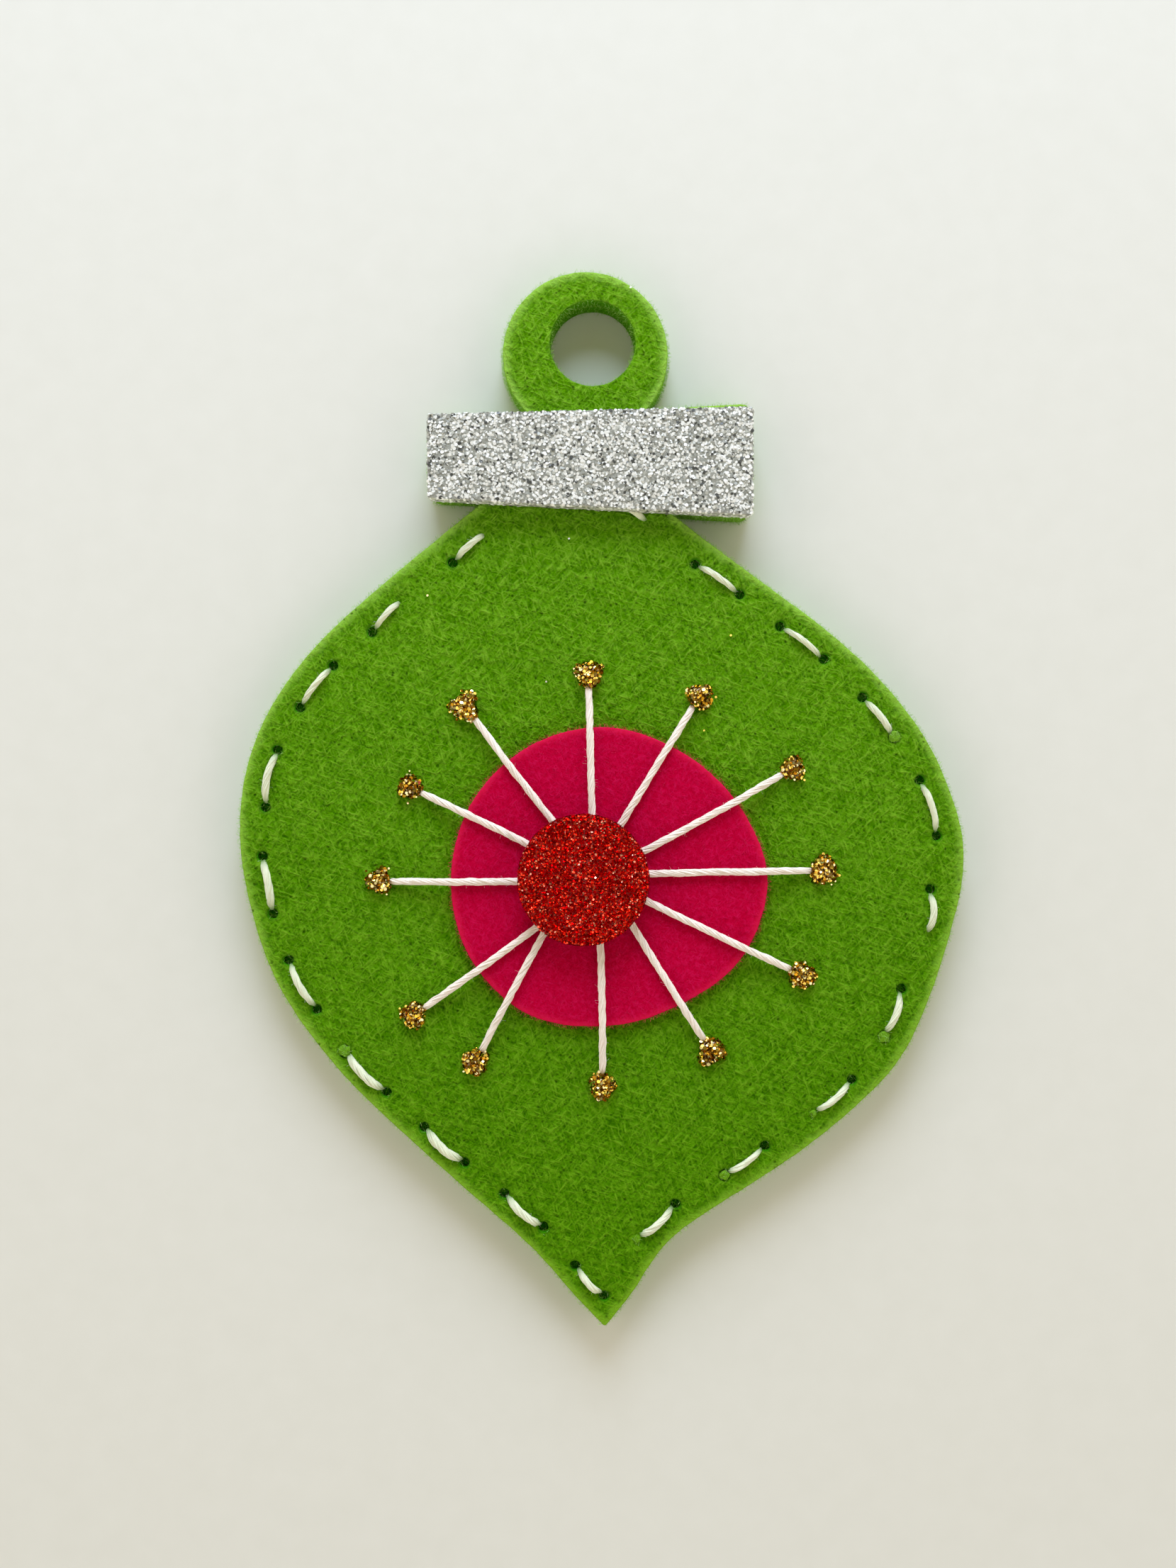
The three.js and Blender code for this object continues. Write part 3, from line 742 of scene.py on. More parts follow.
class Recipe(NodeBench):
    """A Geometry Nodes tree with named inputs, run on a mesh to make another plain mesh."""

    def __init__(self, name: str) -> None:
        """Starts an empty tree that takes and gives geometry.

        Args:
            name: Name of the tree.
        """
        super().__init__(bpy.data.node_groups.new(name, "GeometryNodeTree"))
        self.entry = self.tree.nodes.new("NodeGroupInput")
        self.exit = self.tree.nodes.new("NodeGroupOutput")
        self.geometry = self.input("Geometry", "Geometry")
        self.tree.interface.new_socket(
            "Geometry", in_out="OUTPUT", socket_type="NodeSocketGeometry"
        )

    def input(self, name: str, kind: str = "Float") -> Socket:
        """Adds a named input of the tree and returns its socket."""
        self.tree.interface.new_socket(name, in_out="INPUT", socket_type=f"NodeSocket{kind}")
        return self.entry.outputs[name]

    def end(self, geometry: Any, material: Any) -> None:
        """Closes the tree: real meshes, smooth, in one material.

        Args:
            geometry: What the tree has made.
            material: Its material.
        """
        real = self.out("GeometryNodeRealizeInstances", "Geometry", {"Geometry": geometry})
        smooth = self.add("GeometryNodeSetShadeSmooth", {0: real}).outputs[0]
        dressed = {"Geometry": smooth, "Material": material}
        result = self.out("GeometryNodeSetMaterial", "Geometry", dressed)
        self.tree.links.new(result, self.exit.inputs["Geometry"])

    def faces_between(self, low: Any, high: Any) -> Any:
        """Selects faces by how far they face up.

        Args:
            low: Least upward slope.
            high: Greatest upward slope.

        Returns:
            The selection.
        """
        normal = self.out("GeometryNodeInputNormal", "Normal")
        up = self.out("ShaderNodeSeparateXYZ", "Z", {"Vector": normal})
        tests = {}
        for number, (limit, test) in enumerate(((low, "GREATER_THAN"), (high, "LESS_THAN"))):
            inputs = {"A": up, "B": limit}
            tests[number] = self.out("FunctionNodeCompare", "Result", inputs, operation=test)
        return self.out("FunctionNodeBooleanMath", "Boolean", tests, operation="AND")

    def named(self, name: str) -> Any:
        """Reads the number that the mesh holds under that name."""
        return self.out(
            "GeometryNodeInputNamedAttribute", "Attribute", {"Name": name}, data_type="FLOAT"
        )

    def random(self, low: Any, high: Any, seed: Any, kind: str = "FLOAT") -> Any:
        """Adds a value drawn at random for each point."""
        inputs = {"Min": low, "Max": high, "Seed": seed}
        return self.out("FunctionNodeRandomValue", "Value", inputs, data_type=kind)

    def seed(self, seed: Any, step: int) -> Any:
        """Makes another seed from the tree's own."""
        return self.maths("ADD", seed, float(step))

    def keep(self, geometry: Any, name: str, value: Any) -> Any:
        """Stores a number under a name, for the material to read."""
        inputs = {"Geometry": geometry, "Name": name, "Value": value}
        return self.out("GeometryNodeStoreNamedAttribute", "Geometry", inputs, data_type="FLOAT")

    def scatter(self, low: Any, high: Any, density: Any, seed: Any) -> tuple[Any, Any, Any]:
        """Spreads points over bare faces that face a given way.

        Args:
            low: Least upward slope of the faces.
            high: Greatest upward slope of the faces.
            density: Points to a square metre where the mesh is bare.
            seed: Seed of the points.

        Returns:
            The points, their normals and their rotations.
        """
        inputs = {
            "Mesh": self.geometry,
            "Selection": self.faces_between(low, high),
            "Density": self.maths("MULTIPLY", density, self.named("bare")),
            "Seed": seed,
        }
        node = self.add("GeometryNodeDistributePointsOnFaces", inputs)
        return node.outputs["Points"], node.outputs["Normal"], node.outputs["Rotation"]

    def turned(self, rotation: Any, low: Any, high: Any, seed: Any) -> Any:
        """Turns each point's rotation by random angles about its own axes.

        Args:
            rotation: The points' rotations.
            low: Least angles.
            high: Greatest angles.
            seed: Seed of the angles.

        Returns:
            The new rotations.
        """
        angles = self.random(low, high, seed, "FLOAT_VECTOR")
        extra = self.out("FunctionNodeEulerToRotation", "Rotation", {"Euler": angles})
        inputs = {"Rotation": rotation, "Rotate By": extra}
        return self.out("FunctionNodeRotateRotation", "Rotation", inputs, rotation_space="LOCAL")

    def run(self, source: Piece, name: str, **inputs: Any) -> Piece:
        """Runs the tree on an object.

        Args:
            source: The object whose mesh the tree starts from. It is left as it was.
            name: Name of the new object.
            inputs: Values of the tree's inputs, with _ for each space.

        Returns:
            A new object at the origin with the result as a plain mesh.
        """
        modifier = source.modifiers.new(self.tree.name, "NODES")
        modifier.node_group = self.tree
        for item in self.tree.interface.items_tree:
            key = item.name.replace(" ", "_")
            if item.in_out == "INPUT" and key in inputs:
                modifier[item.identifier] = inputs[key]
        depsgraph = bpy.context.evaluated_depsgraph_get()
        mesh = bpy.data.meshes.new_from_object(source.evaluated_get(depsgraph), depsgraph=depsgraph)
        source.modifiers.remove(modifier)
        return link(name, mesh)


class FibreCoat(Recipe):
    """Loose fibres on a surface, each a thin curved prism that rises from it and may come back.

    Below the ornament they are pressed flat by what it lies on.

    Attributes:
        ROOT: How deep a fibre of length 1 starts.
        OVERHANG: How far a fibre may reach past the room that the mesh leaves it.
    """

    ROOT: float = 0.04
    LEAN: float = 0.1
    LEAST: float = 0.5
    MOST: float = 1.5
    OVERHANG: float = 0.3 * MM
    SWAY_SCALE: float = 750.0
    SWAY_SHAPE: Triple = (1.0, 1.0, 0.35)
    SIDES: int = 3

    def __init__(self) -> None:
        """Builds the tree."""
        super().__init__("fibre coat")
        low, high = self.input("Slope From"), self.input("Slope To")
        density, length = self.input("Density"), self.input("Length")
        thickness, curl = self.input("Thickness"), self.input("Curl")
        middle, end = self.input("Middle", "Vector"), self.input("End", "Vector")
        bends = self.input("Bends", "Int")
        seed, material = self.input("Seed", "Int"), self.input("Material", "Material")
        points, _, rotation = self.scatter(low, high, density, seed)
        shaded = self.keep(points, "shade", self.random(0.0, 1.0, self.seed(seed, 1)))
        arch = self.out(
            "GeometryNodeCurveQuadraticBezier", "Curve",
            {"Resolution": bends, "Start": (0.0, 0.0, -self.ROOT), "Middle": middle, "End": end},
        )
        lean = Vector((self.LEAN, self.LEAN, pi))
        turn = self.turned(rotation, -lean, lean, self.seed(seed, 2))
        shortest, longest = (
            self.maths("MULTIPLY", length, share) for share in (self.LEAST, self.MOST)
        )
        size = self.random(shortest, longest, self.seed(seed, 3))
        room = self.maths("ADD", self.named("room"), self.OVERHANG)
        size = self.maths("MINIMUM", size, room)
        strewn = {"Points": shaded, "Instance": arch, "Rotation": turn, "Scale": size}
        fibres = self.out("GeometryNodeInstanceOnPoints", "Instances", strewn)
        real = self.out("GeometryNodeRealizeInstances", "Geometry", {"Geometry": fibres})
        place = self.out("GeometryNodeInputPosition", "Position")
        sway = self.vector("SCALE", self.sway(place, self.SWAY_SCALE, 2.0), scale=curl)
        offset = self.vector("MULTIPLY", sway, self.SWAY_SHAPE)
        spot = self.add("ShaderNodeSeparateXYZ", {"Vector": self.vector("ADD", place, offset)})
        x, y, z = (spot.outputs[axis] for axis in "XYZ")
        height = self.maths("MAXIMUM", z, thickness)
        pressed = self.out("ShaderNodeCombineXYZ", "Vector", {"X": x, "Y": y, "Z": height})
        moved = {"Geometry": real, "Position": pressed}
        bent = self.out("GeometryNodeSetPosition", "Geometry", moved)
        circle = {"Resolution": self.SIDES, "Radius": thickness}
        section = self.out("GeometryNodeCurvePrimitiveCircle", "Curve", circle)
        swept = {"Curve": bent, "Profile Curve": section}
        self.end(self.out("GeometryNodeCurveToMesh", "Mesh", swept), material)


class GlitterCoat(Recipe):
    """Six-sided flakes strewn over a surface, tilted at random and lying over one another."""

    def __init__(self) -> None:
        """Builds the tree."""
        super().__init__("glitter coat")
        low, high = self.input("Slope From"), self.input("Slope To")
        density, flake = self.input("Density"), self.input("Flake")
        spread, tilt, lift = self.input("Spread"), self.input("Tilt"), self.input("Lift")
        seed, material = self.input("Seed", "Int"), self.input("Material", "Material")
        points, normal, rotation = self.scatter(low, high, density, seed)
        rise = self.random(0.0, lift, self.seed(seed, 1))
        offset = self.vector("SCALE", normal, scale=rise)
        moved = {"Geometry": points, "Offset": offset}
        raised = self.out("GeometryNodeSetPosition", "Geometry", moved)
        # Each flake draws its shade, which may be a painted glint.
        marked = self.keep(raised, "spark", self.random(0.0, 1.0, self.seed(seed, 2)))
        shape = {"Vertices": FLAKE_SIDES, "Radius": 0.5}
        hexagon = self.out("GeometryNodeMeshCircle", "Mesh", shape, fill_type="NGON")
        back = self.maths("MULTIPLY", tilt, -1.0)
        lowest, highest = (
            self.out("ShaderNodeCombineXYZ", "Vector", {"X": angle, "Y": angle, "Z": turn})
            for angle, turn in ((back, -pi), (tilt, pi))
        )
        turn = self.turned(rotation, lowest, highest, self.seed(seed, 3))
        small, large = (
            self.maths("MULTIPLY", flake, self.maths(change, 1.0, spread))
            for change in ("SUBTRACT", "ADD")
        )
        size = self.random(small, large, self.seed(seed, 4))
        strewn = {"Points": marked, "Instance": hexagon, "Rotation": turn, "Scale": size}
        self.end(self.out("GeometryNodeInstanceOnPoints", "Instances", strewn), material)


class PliedFloss(Recipe):
    """Strands of floss laid round a path and twisted about it.

    Attributes:
        PLY_TURN: Angle from each strand to the next, which fills the bundle evenly.
    """

    PLY_TURN: float = pi * (3 - sqrt(5))
    APART: float = 0.01
    SWAY_SCALE: float = 420.0
    SHADE_STEP: float = 0.618
    SIDES: int = 4

    def __init__(self) -> None:
        """Builds the tree."""
        super().__init__("plied floss")
        strands, radius = self.input("Strands", "Int"), self.input("Strand Radius")
        ring, turn_length = self.input("Ring Radius"), self.input("Turn Length")
        wander, material = self.input("Wander"), self.input("Material", "Material")
        path = self.out("GeometryNodeMeshToCurve", "Curve", {"Mesh": self.geometry})
        copies = self.add(
            "GeometryNodeDuplicateElements", {"Geometry": path, "Amount": strands}, domain="SPLINE"
        )
        number = copies.outputs["Duplicate Index"]
        share = self.maths("DIVIDE", self.maths("ADD", number, 0.5), strands)
        travelled = self.out("GeometryNodeSplineParameter", "Length")
        turned = self.maths("MULTIPLY", self.maths("DIVIDE", travelled, turn_length), 2 * pi)
        angle = self.maths("ADD", turned, self.maths("MULTIPLY", number, self.PLY_TURN))
        opened = self.maths("MULTIPLY", ring, self.named("loose"))
        reach = self.maths("MULTIPLY", opened, self.maths("SQRT", share))
        normal = self.out("GeometryNodeInputNormal", "Normal")
        along = self.out("GeometryNodeInputTangent", "Tangent")
        aside = self.vector("CROSS_PRODUCT", along, normal)
        first = self.vector("SCALE", normal, scale=self.maths("COSINE", angle))
        second = self.vector("SCALE", aside, scale=self.maths("SINE", angle))
        round_path = self.vector("SCALE", self.vector("ADD", first, second), scale=reach)
        place = self.out("GeometryNodeInputPosition", "Position")
        strand = self.out("ShaderNodeCombineXYZ", "Vector", {"Z": number})
        read_at = self.vector("ADD", place, self.vector("SCALE", strand, scale=self.APART))
        sway = self.vector("SCALE", self.sway(read_at, self.SWAY_SCALE, 1.0), scale=wander)
        offset = self.vector("ADD", round_path, sway)
        moved = {"Geometry": copies.outputs["Geometry"], "Offset": offset}
        laid = self.out("GeometryNodeSetPosition", "Geometry", moved)
        mixed = self.maths("FRACT", self.maths("MULTIPLY", number, self.SHADE_STEP))
        marked = self.keep(laid, "strand", mixed)
        circle = {"Resolution": self.SIDES, "Radius": radius}
        section = self.out("GeometryNodeCurvePrimitiveCircle", "Curve", circle)
        swept = {"Curve": marked, "Profile Curve": section, "Fill Caps": True}
        self.end(self.out("GeometryNodeCurveToMesh", "Mesh", swept), material)


def link(name: str, data: bpy.types.ID) -> Piece:
    """Puts a mesh, a camera or a lamp into the scene as an object.

    Args:
        name: Name of the object.
        data: What it shows or does.

    Returns:
        The object, at the origin.
    """
    piece = bpy.data.objects.new(name, data)
    bpy.context.scene.collection.objects.link(piece)
    return piece


def mesh_piece(
    name: str, points: Sequence[Sequence[float]], faces: Sequence[Sequence[int]], edges: Any = ()
) -> Piece:
    """Makes an object from points in millimetres.

    Args:
        name: Name of the object.
        points: Corners, in millimetres.
        faces: Corner numbers of each face.
        edges: Corner numbers of each edge, for a path without faces.

    Returns:
        The object, smooth, with its faces pointing outwards.
    """
    mesh = bpy.data.meshes.new(name)
    mesh.from_pydata((np.asarray(points, float) * MM).tolist(), edges, faces)
    if faces:
        shape = bmesh.new()
        shape.from_mesh(mesh)
        bmesh.ops.recalc_face_normals(shape, faces=shape.faces)
        shape.to_mesh(mesh)
        shape.free()
        mesh.shade_smooth()
    return link(name, mesh)


def store(piece: Piece, name: str, values: Iterable[float] | float) -> None:
    """Stores numbers on a piece.

    Args:
        piece: The piece.
        name: Name that materials and trees read them by.
        values: A number for each corner, or one for all.
    """
    layer = piece.data.attributes.new(name, "FLOAT", "POINT")
    count = len(piece.data.vertices)
    layer.data.foreach_set("value", np.broadcast_to(np.asarray(values, np.float32), count).copy())


def place(piece: Piece, slot: Slot, *nodes: str) -> Piece:
    """Fixes a piece to the ornament and says which solids it stands for.

    Args:
        piece: The piece, at the origin.
        slot: Its material slot in the record.
        nodes: The solids, if any.

    Returns:
        The same piece.
    """
    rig.ride(piece, BODY)
    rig.slot(piece, slot.value)
    if nodes:
        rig.replaces(piece, *nodes)
    LOG.info("%s: %d faces", piece.name, len(piece.data.polygons))
    return piece


def flow(points: Points, spacing: float, closed: bool) -> Points:
    """Draws a smooth line through points.

    Args:
        points: Points that the line goes through, in millimetres.
        spacing: Distance between the points of the result.
        closed: Whether the line comes back to its start.

    Returns:
        Points along the line, with the last left out where it is closed.
    """
    count = len(points)
    ahead = norm(np.roll(points, -1, 0) - points, axis=1)
    behind = np.roll(ahead, 1)
    slope = (np.roll(points, -1, 0) - np.roll(points, 1, 0)) / (ahead + behind)[:, None]
    if not closed:
        slope[0] = (points[1] - points[0]) / ahead[0]
        slope[-1] = (points[-1] - points[-2]) / behind[-1]
    line = []
    for i in range(count if closed else count - 1):
        after = (i + 1) % count
        steps = max(1, round(ahead[i] / spacing))
        for t in np.arange(steps) / steps:
            line.append(
                (2 * t**3 - 3 * t**2 + 1) * points[i]
                + (t**3 - 2 * t**2 + t) * ahead[i] * slope[i]
                + (3 * t**2 - 2 * t**3) * points[after]
                + (t**3 - t**2) * ahead[i] * slope[after]
            )
    if not closed:
        line.append(points[-1])
    return np.array(line)


def smooth_outline(loop: Points, spacing: float, corner: float = radians(32)) -> Points:
    """Rounds a faceted outline between its sharp corners, which stay.

    Args:
        loop: Corners of the outline, in order.
        spacing: Distance between the points of the result.
        corner: Least turn that counts as a sharp corner.

    Returns:
        Points along the outline.
    """
    step = np.roll(loop, -1, 0) - loop
    heading = np.arctan2(step[:, 1], step[:, 0])
    turn = np.abs((heading - np.roll(heading, 1) + pi) % (2 * pi) - pi)
    sharp = np.flatnonzero(turn > corner)
    if len(sharp) == 0:
        return flow(loop, spacing, True)
    parts = []
    for start, end in zip(sharp, np.roll(sharp, -1)):
        count = (end - start) % len(loop) or len(loop)
        stretch = loop[(start + np.arange(count + 1)) % len(loop)]
        parts.append(flow(stretch, spacing, False)[:-1])
    return np.concatenate(parts)


def rounded_corners(
    loop: Points, radius: float, least: float = radians(60), steps: int = 6
) -> Points:
    """Rounds the corners of an outline that stick out sharply, as scissors leave them.

    Args:
        loop: Corners of the outline, anticlockwise.
        radius: Radius of the rounding.
        least: Least turn of a corner that is rounded.
        steps: Points on each rounding.

    Returns:
        The outline with its sharp corners rounded.
    """
    rounded = []
    for before, corner, after in zip(np.roll(loop, 1, 0), loop, np.roll(loop, -1, 0)):
        into = (corner - before) / norm(corner - before)
        away = (after - corner) / norm(after - corner)
        turn = atan2(into[0] * away[1] - into[1] * away[0], into @ away)
        if turn < least:
            rounded.append(corner)
            continue
        start = corner - radius * tan(turn / 2) * into
        aside = np.array([-into[1], into[0]])
        for angle in np.linspace(0, turn, steps):
            curve = sin(angle) * into + (1 - cos(angle)) * aside
            rounded.append(start + radius * curve)
    return np.array(rounded)


def area_of(loop: Points) -> float:
    """Area inside an outline, positive where it runs anticlockwise."""
    x, y = loop[:, 0], loop[:, 1]
    return 0.5 * float(np.sum(x * np.roll(y, -1) - y * np.roll(x, -1)))


def inside(points: Points, loop: Points) -> np.ndarray:
    """Tells which points lie inside an outline.

    Args:
        points: The points.
        loop: Corners of the outline.

    Returns:
        True or False for each point.
    """
    x, y = points[:, 0, None], points[:, 1, None]
    start, end = loop, np.roll(loop, -1, 0)
    crosses = (start[:, 1] > y) != (end[:, 1] > y)
    rise = np.where(end[:, 1] == start[:, 1], 1e-9, end[:, 1] - start[:, 1])
    reach = start[:, 0] + (y - start[:, 1]) / rise * (end[:, 0] - start[:, 0])
    return (crosses & (x < reach)).sum(axis=1) % 2 == 1


def between(points: Points, loops: Sequence[Points]) -> np.ndarray:
    """Tells which points lie inside the first of some outlines and outside all the others."""
    within, *holes = (inside(points, loop) for loop in loops)
    return within & ~np.any(holes, axis=0)


def outward(loop: Points) -> Points:
    """Finds the way out of the material along a rim.

    Args:
        loop: Points of an outline, anticlockwise, or of a hole, clockwise.

    Returns:
        A way of length 1 for each point.
    """
    step = np.roll(loop, -1, 0) - np.roll(loop, 1, 0)
    out = np.stack([step[:, 1], -step[:, 0]], axis=1)
    return out / norm(out, axis=1)[:, None]


def nearest(points: Points, others: Points) -> np.ndarray:
    """Distance from each point to the nearest of some others."""
    return np.min(norm(points[:, None] - others[None], axis=2), axis=1)


def waves(points: Points, period: float, seed: float) -> np.ndarray:
    """Smooth random heights from -1 to 1 at some points, with hills about a period apart."""
    return np.array([noise.noise(Vector((x / period, y / period, seed))) for x, y in points])


def front_loops(node: str) -> list[Points]:
    """Finds the outlines of a flat solid's front face.

    Args:
        node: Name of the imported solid.

    Returns:
        The outer outline, anticlockwise, then each hole's, clockwise, in millimetres.
    """
    shape = bmesh.new()
    shape.from_mesh(frame["nodes"][node].data)
    bmesh.ops.remove_doubles(shape, verts=shape.verts, dist=WELD)
    shape.faces.index_update()
    top = max(v.co.z for v in shape.verts) - LEVEL
    front = {f.index: f for f in shape.faces if all(v.co.z > top for v in f.verts)}
    follows: dict[bmesh.types.BMVert, bmesh.types.BMVert] = {}
    for face in front.values():
        for corner in face.loops:
            if sum(f.index in front for f in corner.edge.link_faces) == 1:
                follows[corner.vert] = corner.link_loop_next.vert
    loops = []
    while follows:
        start, vert = follows.popitem()
        chain = [start]
        while vert is not start:
            chain.append(vert)
            vert = follows.pop(vert)
        loops.append(np.array([v.co.xy for v in chain]) / MM)
    shape.free()
    return sorted(loops, key=lambda loop: -abs(area_of(loop)))


@dataclass(frozen=True)
class Dent:
    """Line along which floss pulls a face of the felt in."""

    start: Points
    end: Points
    depth: float
    width: float

    def at(self, points: Points) -> np.ndarray:
        """Depth of the dent.

        Args:
            points: Where it is asked for.

        Returns:
            A depth for each point.
        """
        along = self.end - self.start
        share = np.clip((points - self.start) @ along / max(along @ along, 1e-9), 0, 1)
        distance = norm(points - self.start - share[:, None] * along, axis=1)
        return self.depth * np.exp(-((distance / self.width) ** 2))


@dataclass
class CutSheet:
    """A flat piece cut from a sheet, with rounded rims, modelled on the outlines of its solid.

    Attributes:
        ease: Length over which small bends of its long sides are evened out, or 0.
        grow: How far the eased sides are let out by the fuzz.
        hole_limit: Greatest radius of a needle hole. A larger hole is an opening.
        rim_gap: Least distance of the mesh's inner points from a rim, in spacings.
        covers: Outlines of what lies on its front, where no fibres grow.
    """

    name: str
    node: str
    slot: Slot
    spacing: float = 0.8
    rim_radius: float = 0.2
    hole_radius: float = 0.4
    tip_radius: float = 0.35
    ease: float = 0.0
    ease_steps: int = 6
    ease_from: float = -61.0
    ease_to: float = 32.0
    ease_ramp: float = 4.0
    grow: float = 0.0
    rim_steps: int = 3
    hole_sides: int = 14
    hole_limit: float = 2.0
    hole_rough: float = 0.16
    hole_period: float = 0.9
    rough_cut: float = 0.06
    cut_period: float = 1.1
    rim_gap: float = 0.6
    wave: float = 0.0
    wave_periods: Range = (6.5, 1.7)
    wave_shares: Range = (0.7, 0.3)
    # Paleness of the faces near the outline, partly painted highlight, and how far in it reaches.
    rim_highlight_share: float = 0.7
    rim_highlight_reach: float = 0.3
    wall_room: float = 0.35
    seed: int = 1
    covers: list[Points] = field(default_factory=list)
    front_dents: list[Dent] = field(default_factory=list)
    back_dents: list[Dent] = field(default_factory=list)
    piece: Piece | None = None

    def __post_init__(self) -> None:
        """Reads the solid's outlines and levels."""
        low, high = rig.box(self.node)
        self.bottom, self.top = low.z / MM, high.z / MM
        outer, *inner = front_loops(self.node)
        rounded = rounded_corners(outer, self.tip_radius)
        self.outline = self.eased(smooth_outline(rounded, self.spacing))
        wide = [loop for loop in inner if abs(area_of(loop)) > pi * self.hole_limit**2]
        small = inner[len(wide) :]
        self.openings = [smooth_outline(loop, self.spacing) for loop in wide]
        self.holes = [loop.mean(axis=0) for loop in small]
        self.hole_sizes = [sqrt(abs(area_of(loop)) / pi) for loop in small]

    def eased(self, loop: Points) -> Points:
        """Takes the small bends out of the long sides of an outline.

        Args:
            loop: Points along the outline, anticlockwise.

        Returns:
            The same points, moved along the sides and let out by the fuzz.
        """
        if self.ease == 0:
            return loop
        steps = np.arange(-self.ease_steps, self.ease_steps + 1)
        weights = np.exp(-0.5 * (steps * self.spacing / self.ease) ** 2)
        soft = sum(w * np.roll(loop, k, 0) for k, w in zip(steps, weights)) / weights.sum()
        within = np.minimum(loop[:, 1] - self.ease_from, self.ease_to - loop[:, 1])
        share = np.clip(within / self.ease_ramp, 0, 1)
        return loop + share[:, None] * (soft + self.grow * outward(soft) - loop)

    def keep_holes(self, wanted: Callable[[Points], bool]) -> None:
        """Lets the felt close up again over the needle holes that aren't wanted.

        Args:
            wanted: Tells of a hole's middle whether the hole stays.
        """
        pairs = [(c, r) for c, r in zip(self.holes, self.hole_sizes) if wanted(c)]
        self.holes = [centre for centre, _ in pairs]
        self.hole_sizes = [size for _, size in pairs]

    def hole_loop(self, centre: Points, radius: float, number: int) -> Points:
        """Outline of one stitch hole, clockwise and not quite round.

        Args:
            centre: Its middle.
            radius: Its mean radius.
            number: Its number, which makes it differ from the others.

        Returns:
            Points along the outline.
        """
        turns = -2 * pi * np.arange(self.hole_sides) / self.hole_sides
        ring = np.stack([np.cos(turns), np.sin(turns)], axis=1)
        rough = self.hole_rough * waves(ring + number, self.hole_period, self.seed)
        return centre + ring * (radius * (1 + rough))[:, None]

    def rims(self) -> list[Rim]:
        """Every rim of the piece.

        Returns:
            For each rim its points on the flat of the face, the way out of the material at each
            point, the radius that the rim is rounded to, and how it was cut.
        """
        small = [
            (self.hole_loop(c, r, i), self.hole_radius, Cut.NEEDLE)
            for i, (c, r) in enumerate(zip(self.holes, self.hole_sizes))
        ]
        large = [(self.outline, self.rim_radius, Cut.OUTLINE)]
        large += [(loop, self.rim_radius, Cut.OPENING) for loop in self.openings]
        rims = []
        for loop, radius, cut in [*large, *small]:
            out = outward(loop)
            rough = 0.0 if cut is Cut.NEEDLE else self.rough_cut
            ragged = rough * waves(loop, self.cut_period, self.seed + CUT_SEED)
            rims.append((loop + out * (ragged - radius)[:, None], out, radius, cut))
        return rims

    def fill(self, rims: list[Rim]) -> tuple[Points, list, list]:
        """Covers the flat of the face with triangles.

        Args:
            rims: The rims, as rims() gives them.

        Returns:
            The points, the triangles, and the point numbers of each rim.
        """
        flats = [flat for flat, *_ in rims]
        edge_points = np.concatenate(flats)
        low, high = edge_points.min(axis=0), edge_points.max(axis=0)
        rows = np.arange(low[1], high[1], self.spacing * sqrt(0.75))
        columns = np.arange(low[0], high[0], self.spacing)
        grid = np.array([
            (x + self.spacing * (0.5 * (i % 2)), y) for i, y in enumerate(rows) for x in columns
        ])
        grid = grid[between(grid, flats)]
        grid = grid[nearest(grid, edge_points) > self.rim_gap * self.spacing]
        ends = np.cumsum([len(flat) for flat in flats])
        ring_numbers = [np.arange(end - len(flat), end) for flat, end in zip(flats, ends)]
        edges = [
            (int(a), int(b)) for ring in ring_numbers for a, b in zip(ring, np.roll(ring, -1))
        ]
        coords = [Vector(p) for p in np.concatenate([edge_points, grid])]
        found, _, triangles, origins, *_ = delaunay_2d_cdt(
            coords, edges, [], INNER_TRIANGLES, SAME_POINT
        )
        points = np.array([tuple(p) for p in found])
        solid = between(points[np.array(triangles)].mean(axis=1), flats)
        number = {old: new for new, olds in enumerate(origins) for old in olds}
        rings = [[number[int(i)] for i in ring] for ring in ring_numbers]
        return points, [list(t) for t, kept in zip(triangles, solid) if kept], rings

    def front_height(self, points: Points) -> np.ndarray:
        """Level of the front face at some points."""
        level = self.top + self.relief(points, 0.0)
        return level - sum((dent.at(points) for dent in self.front_dents), np.zeros(len(points)))

    def back_height(self, points: Points) -> np.ndarray:
        """Level of the back face at some points."""
        level = self.bottom + self.wave + self.relief(points, BACK_SEED)
        return level + sum((dent.at(points) for dent in self.back_dents), np.zeros(len(points)))

    def relief(self, points: Points, shift: float) -> np.ndarray:
        """Gentle waves of a face that was never quite flat.

        Args:
            points: Where they are asked for.
            shift: What is added to the seed for this face.

        Returns:
            A height for each point.
        """
        height = np.zeros(len(points))
        for share, period, step in zip(self.wave_shares, self.wave_periods, (0.0, FINE_SEED)):
            height += share * waves(points, period, self.seed + shift + step)
        return self.wave * height

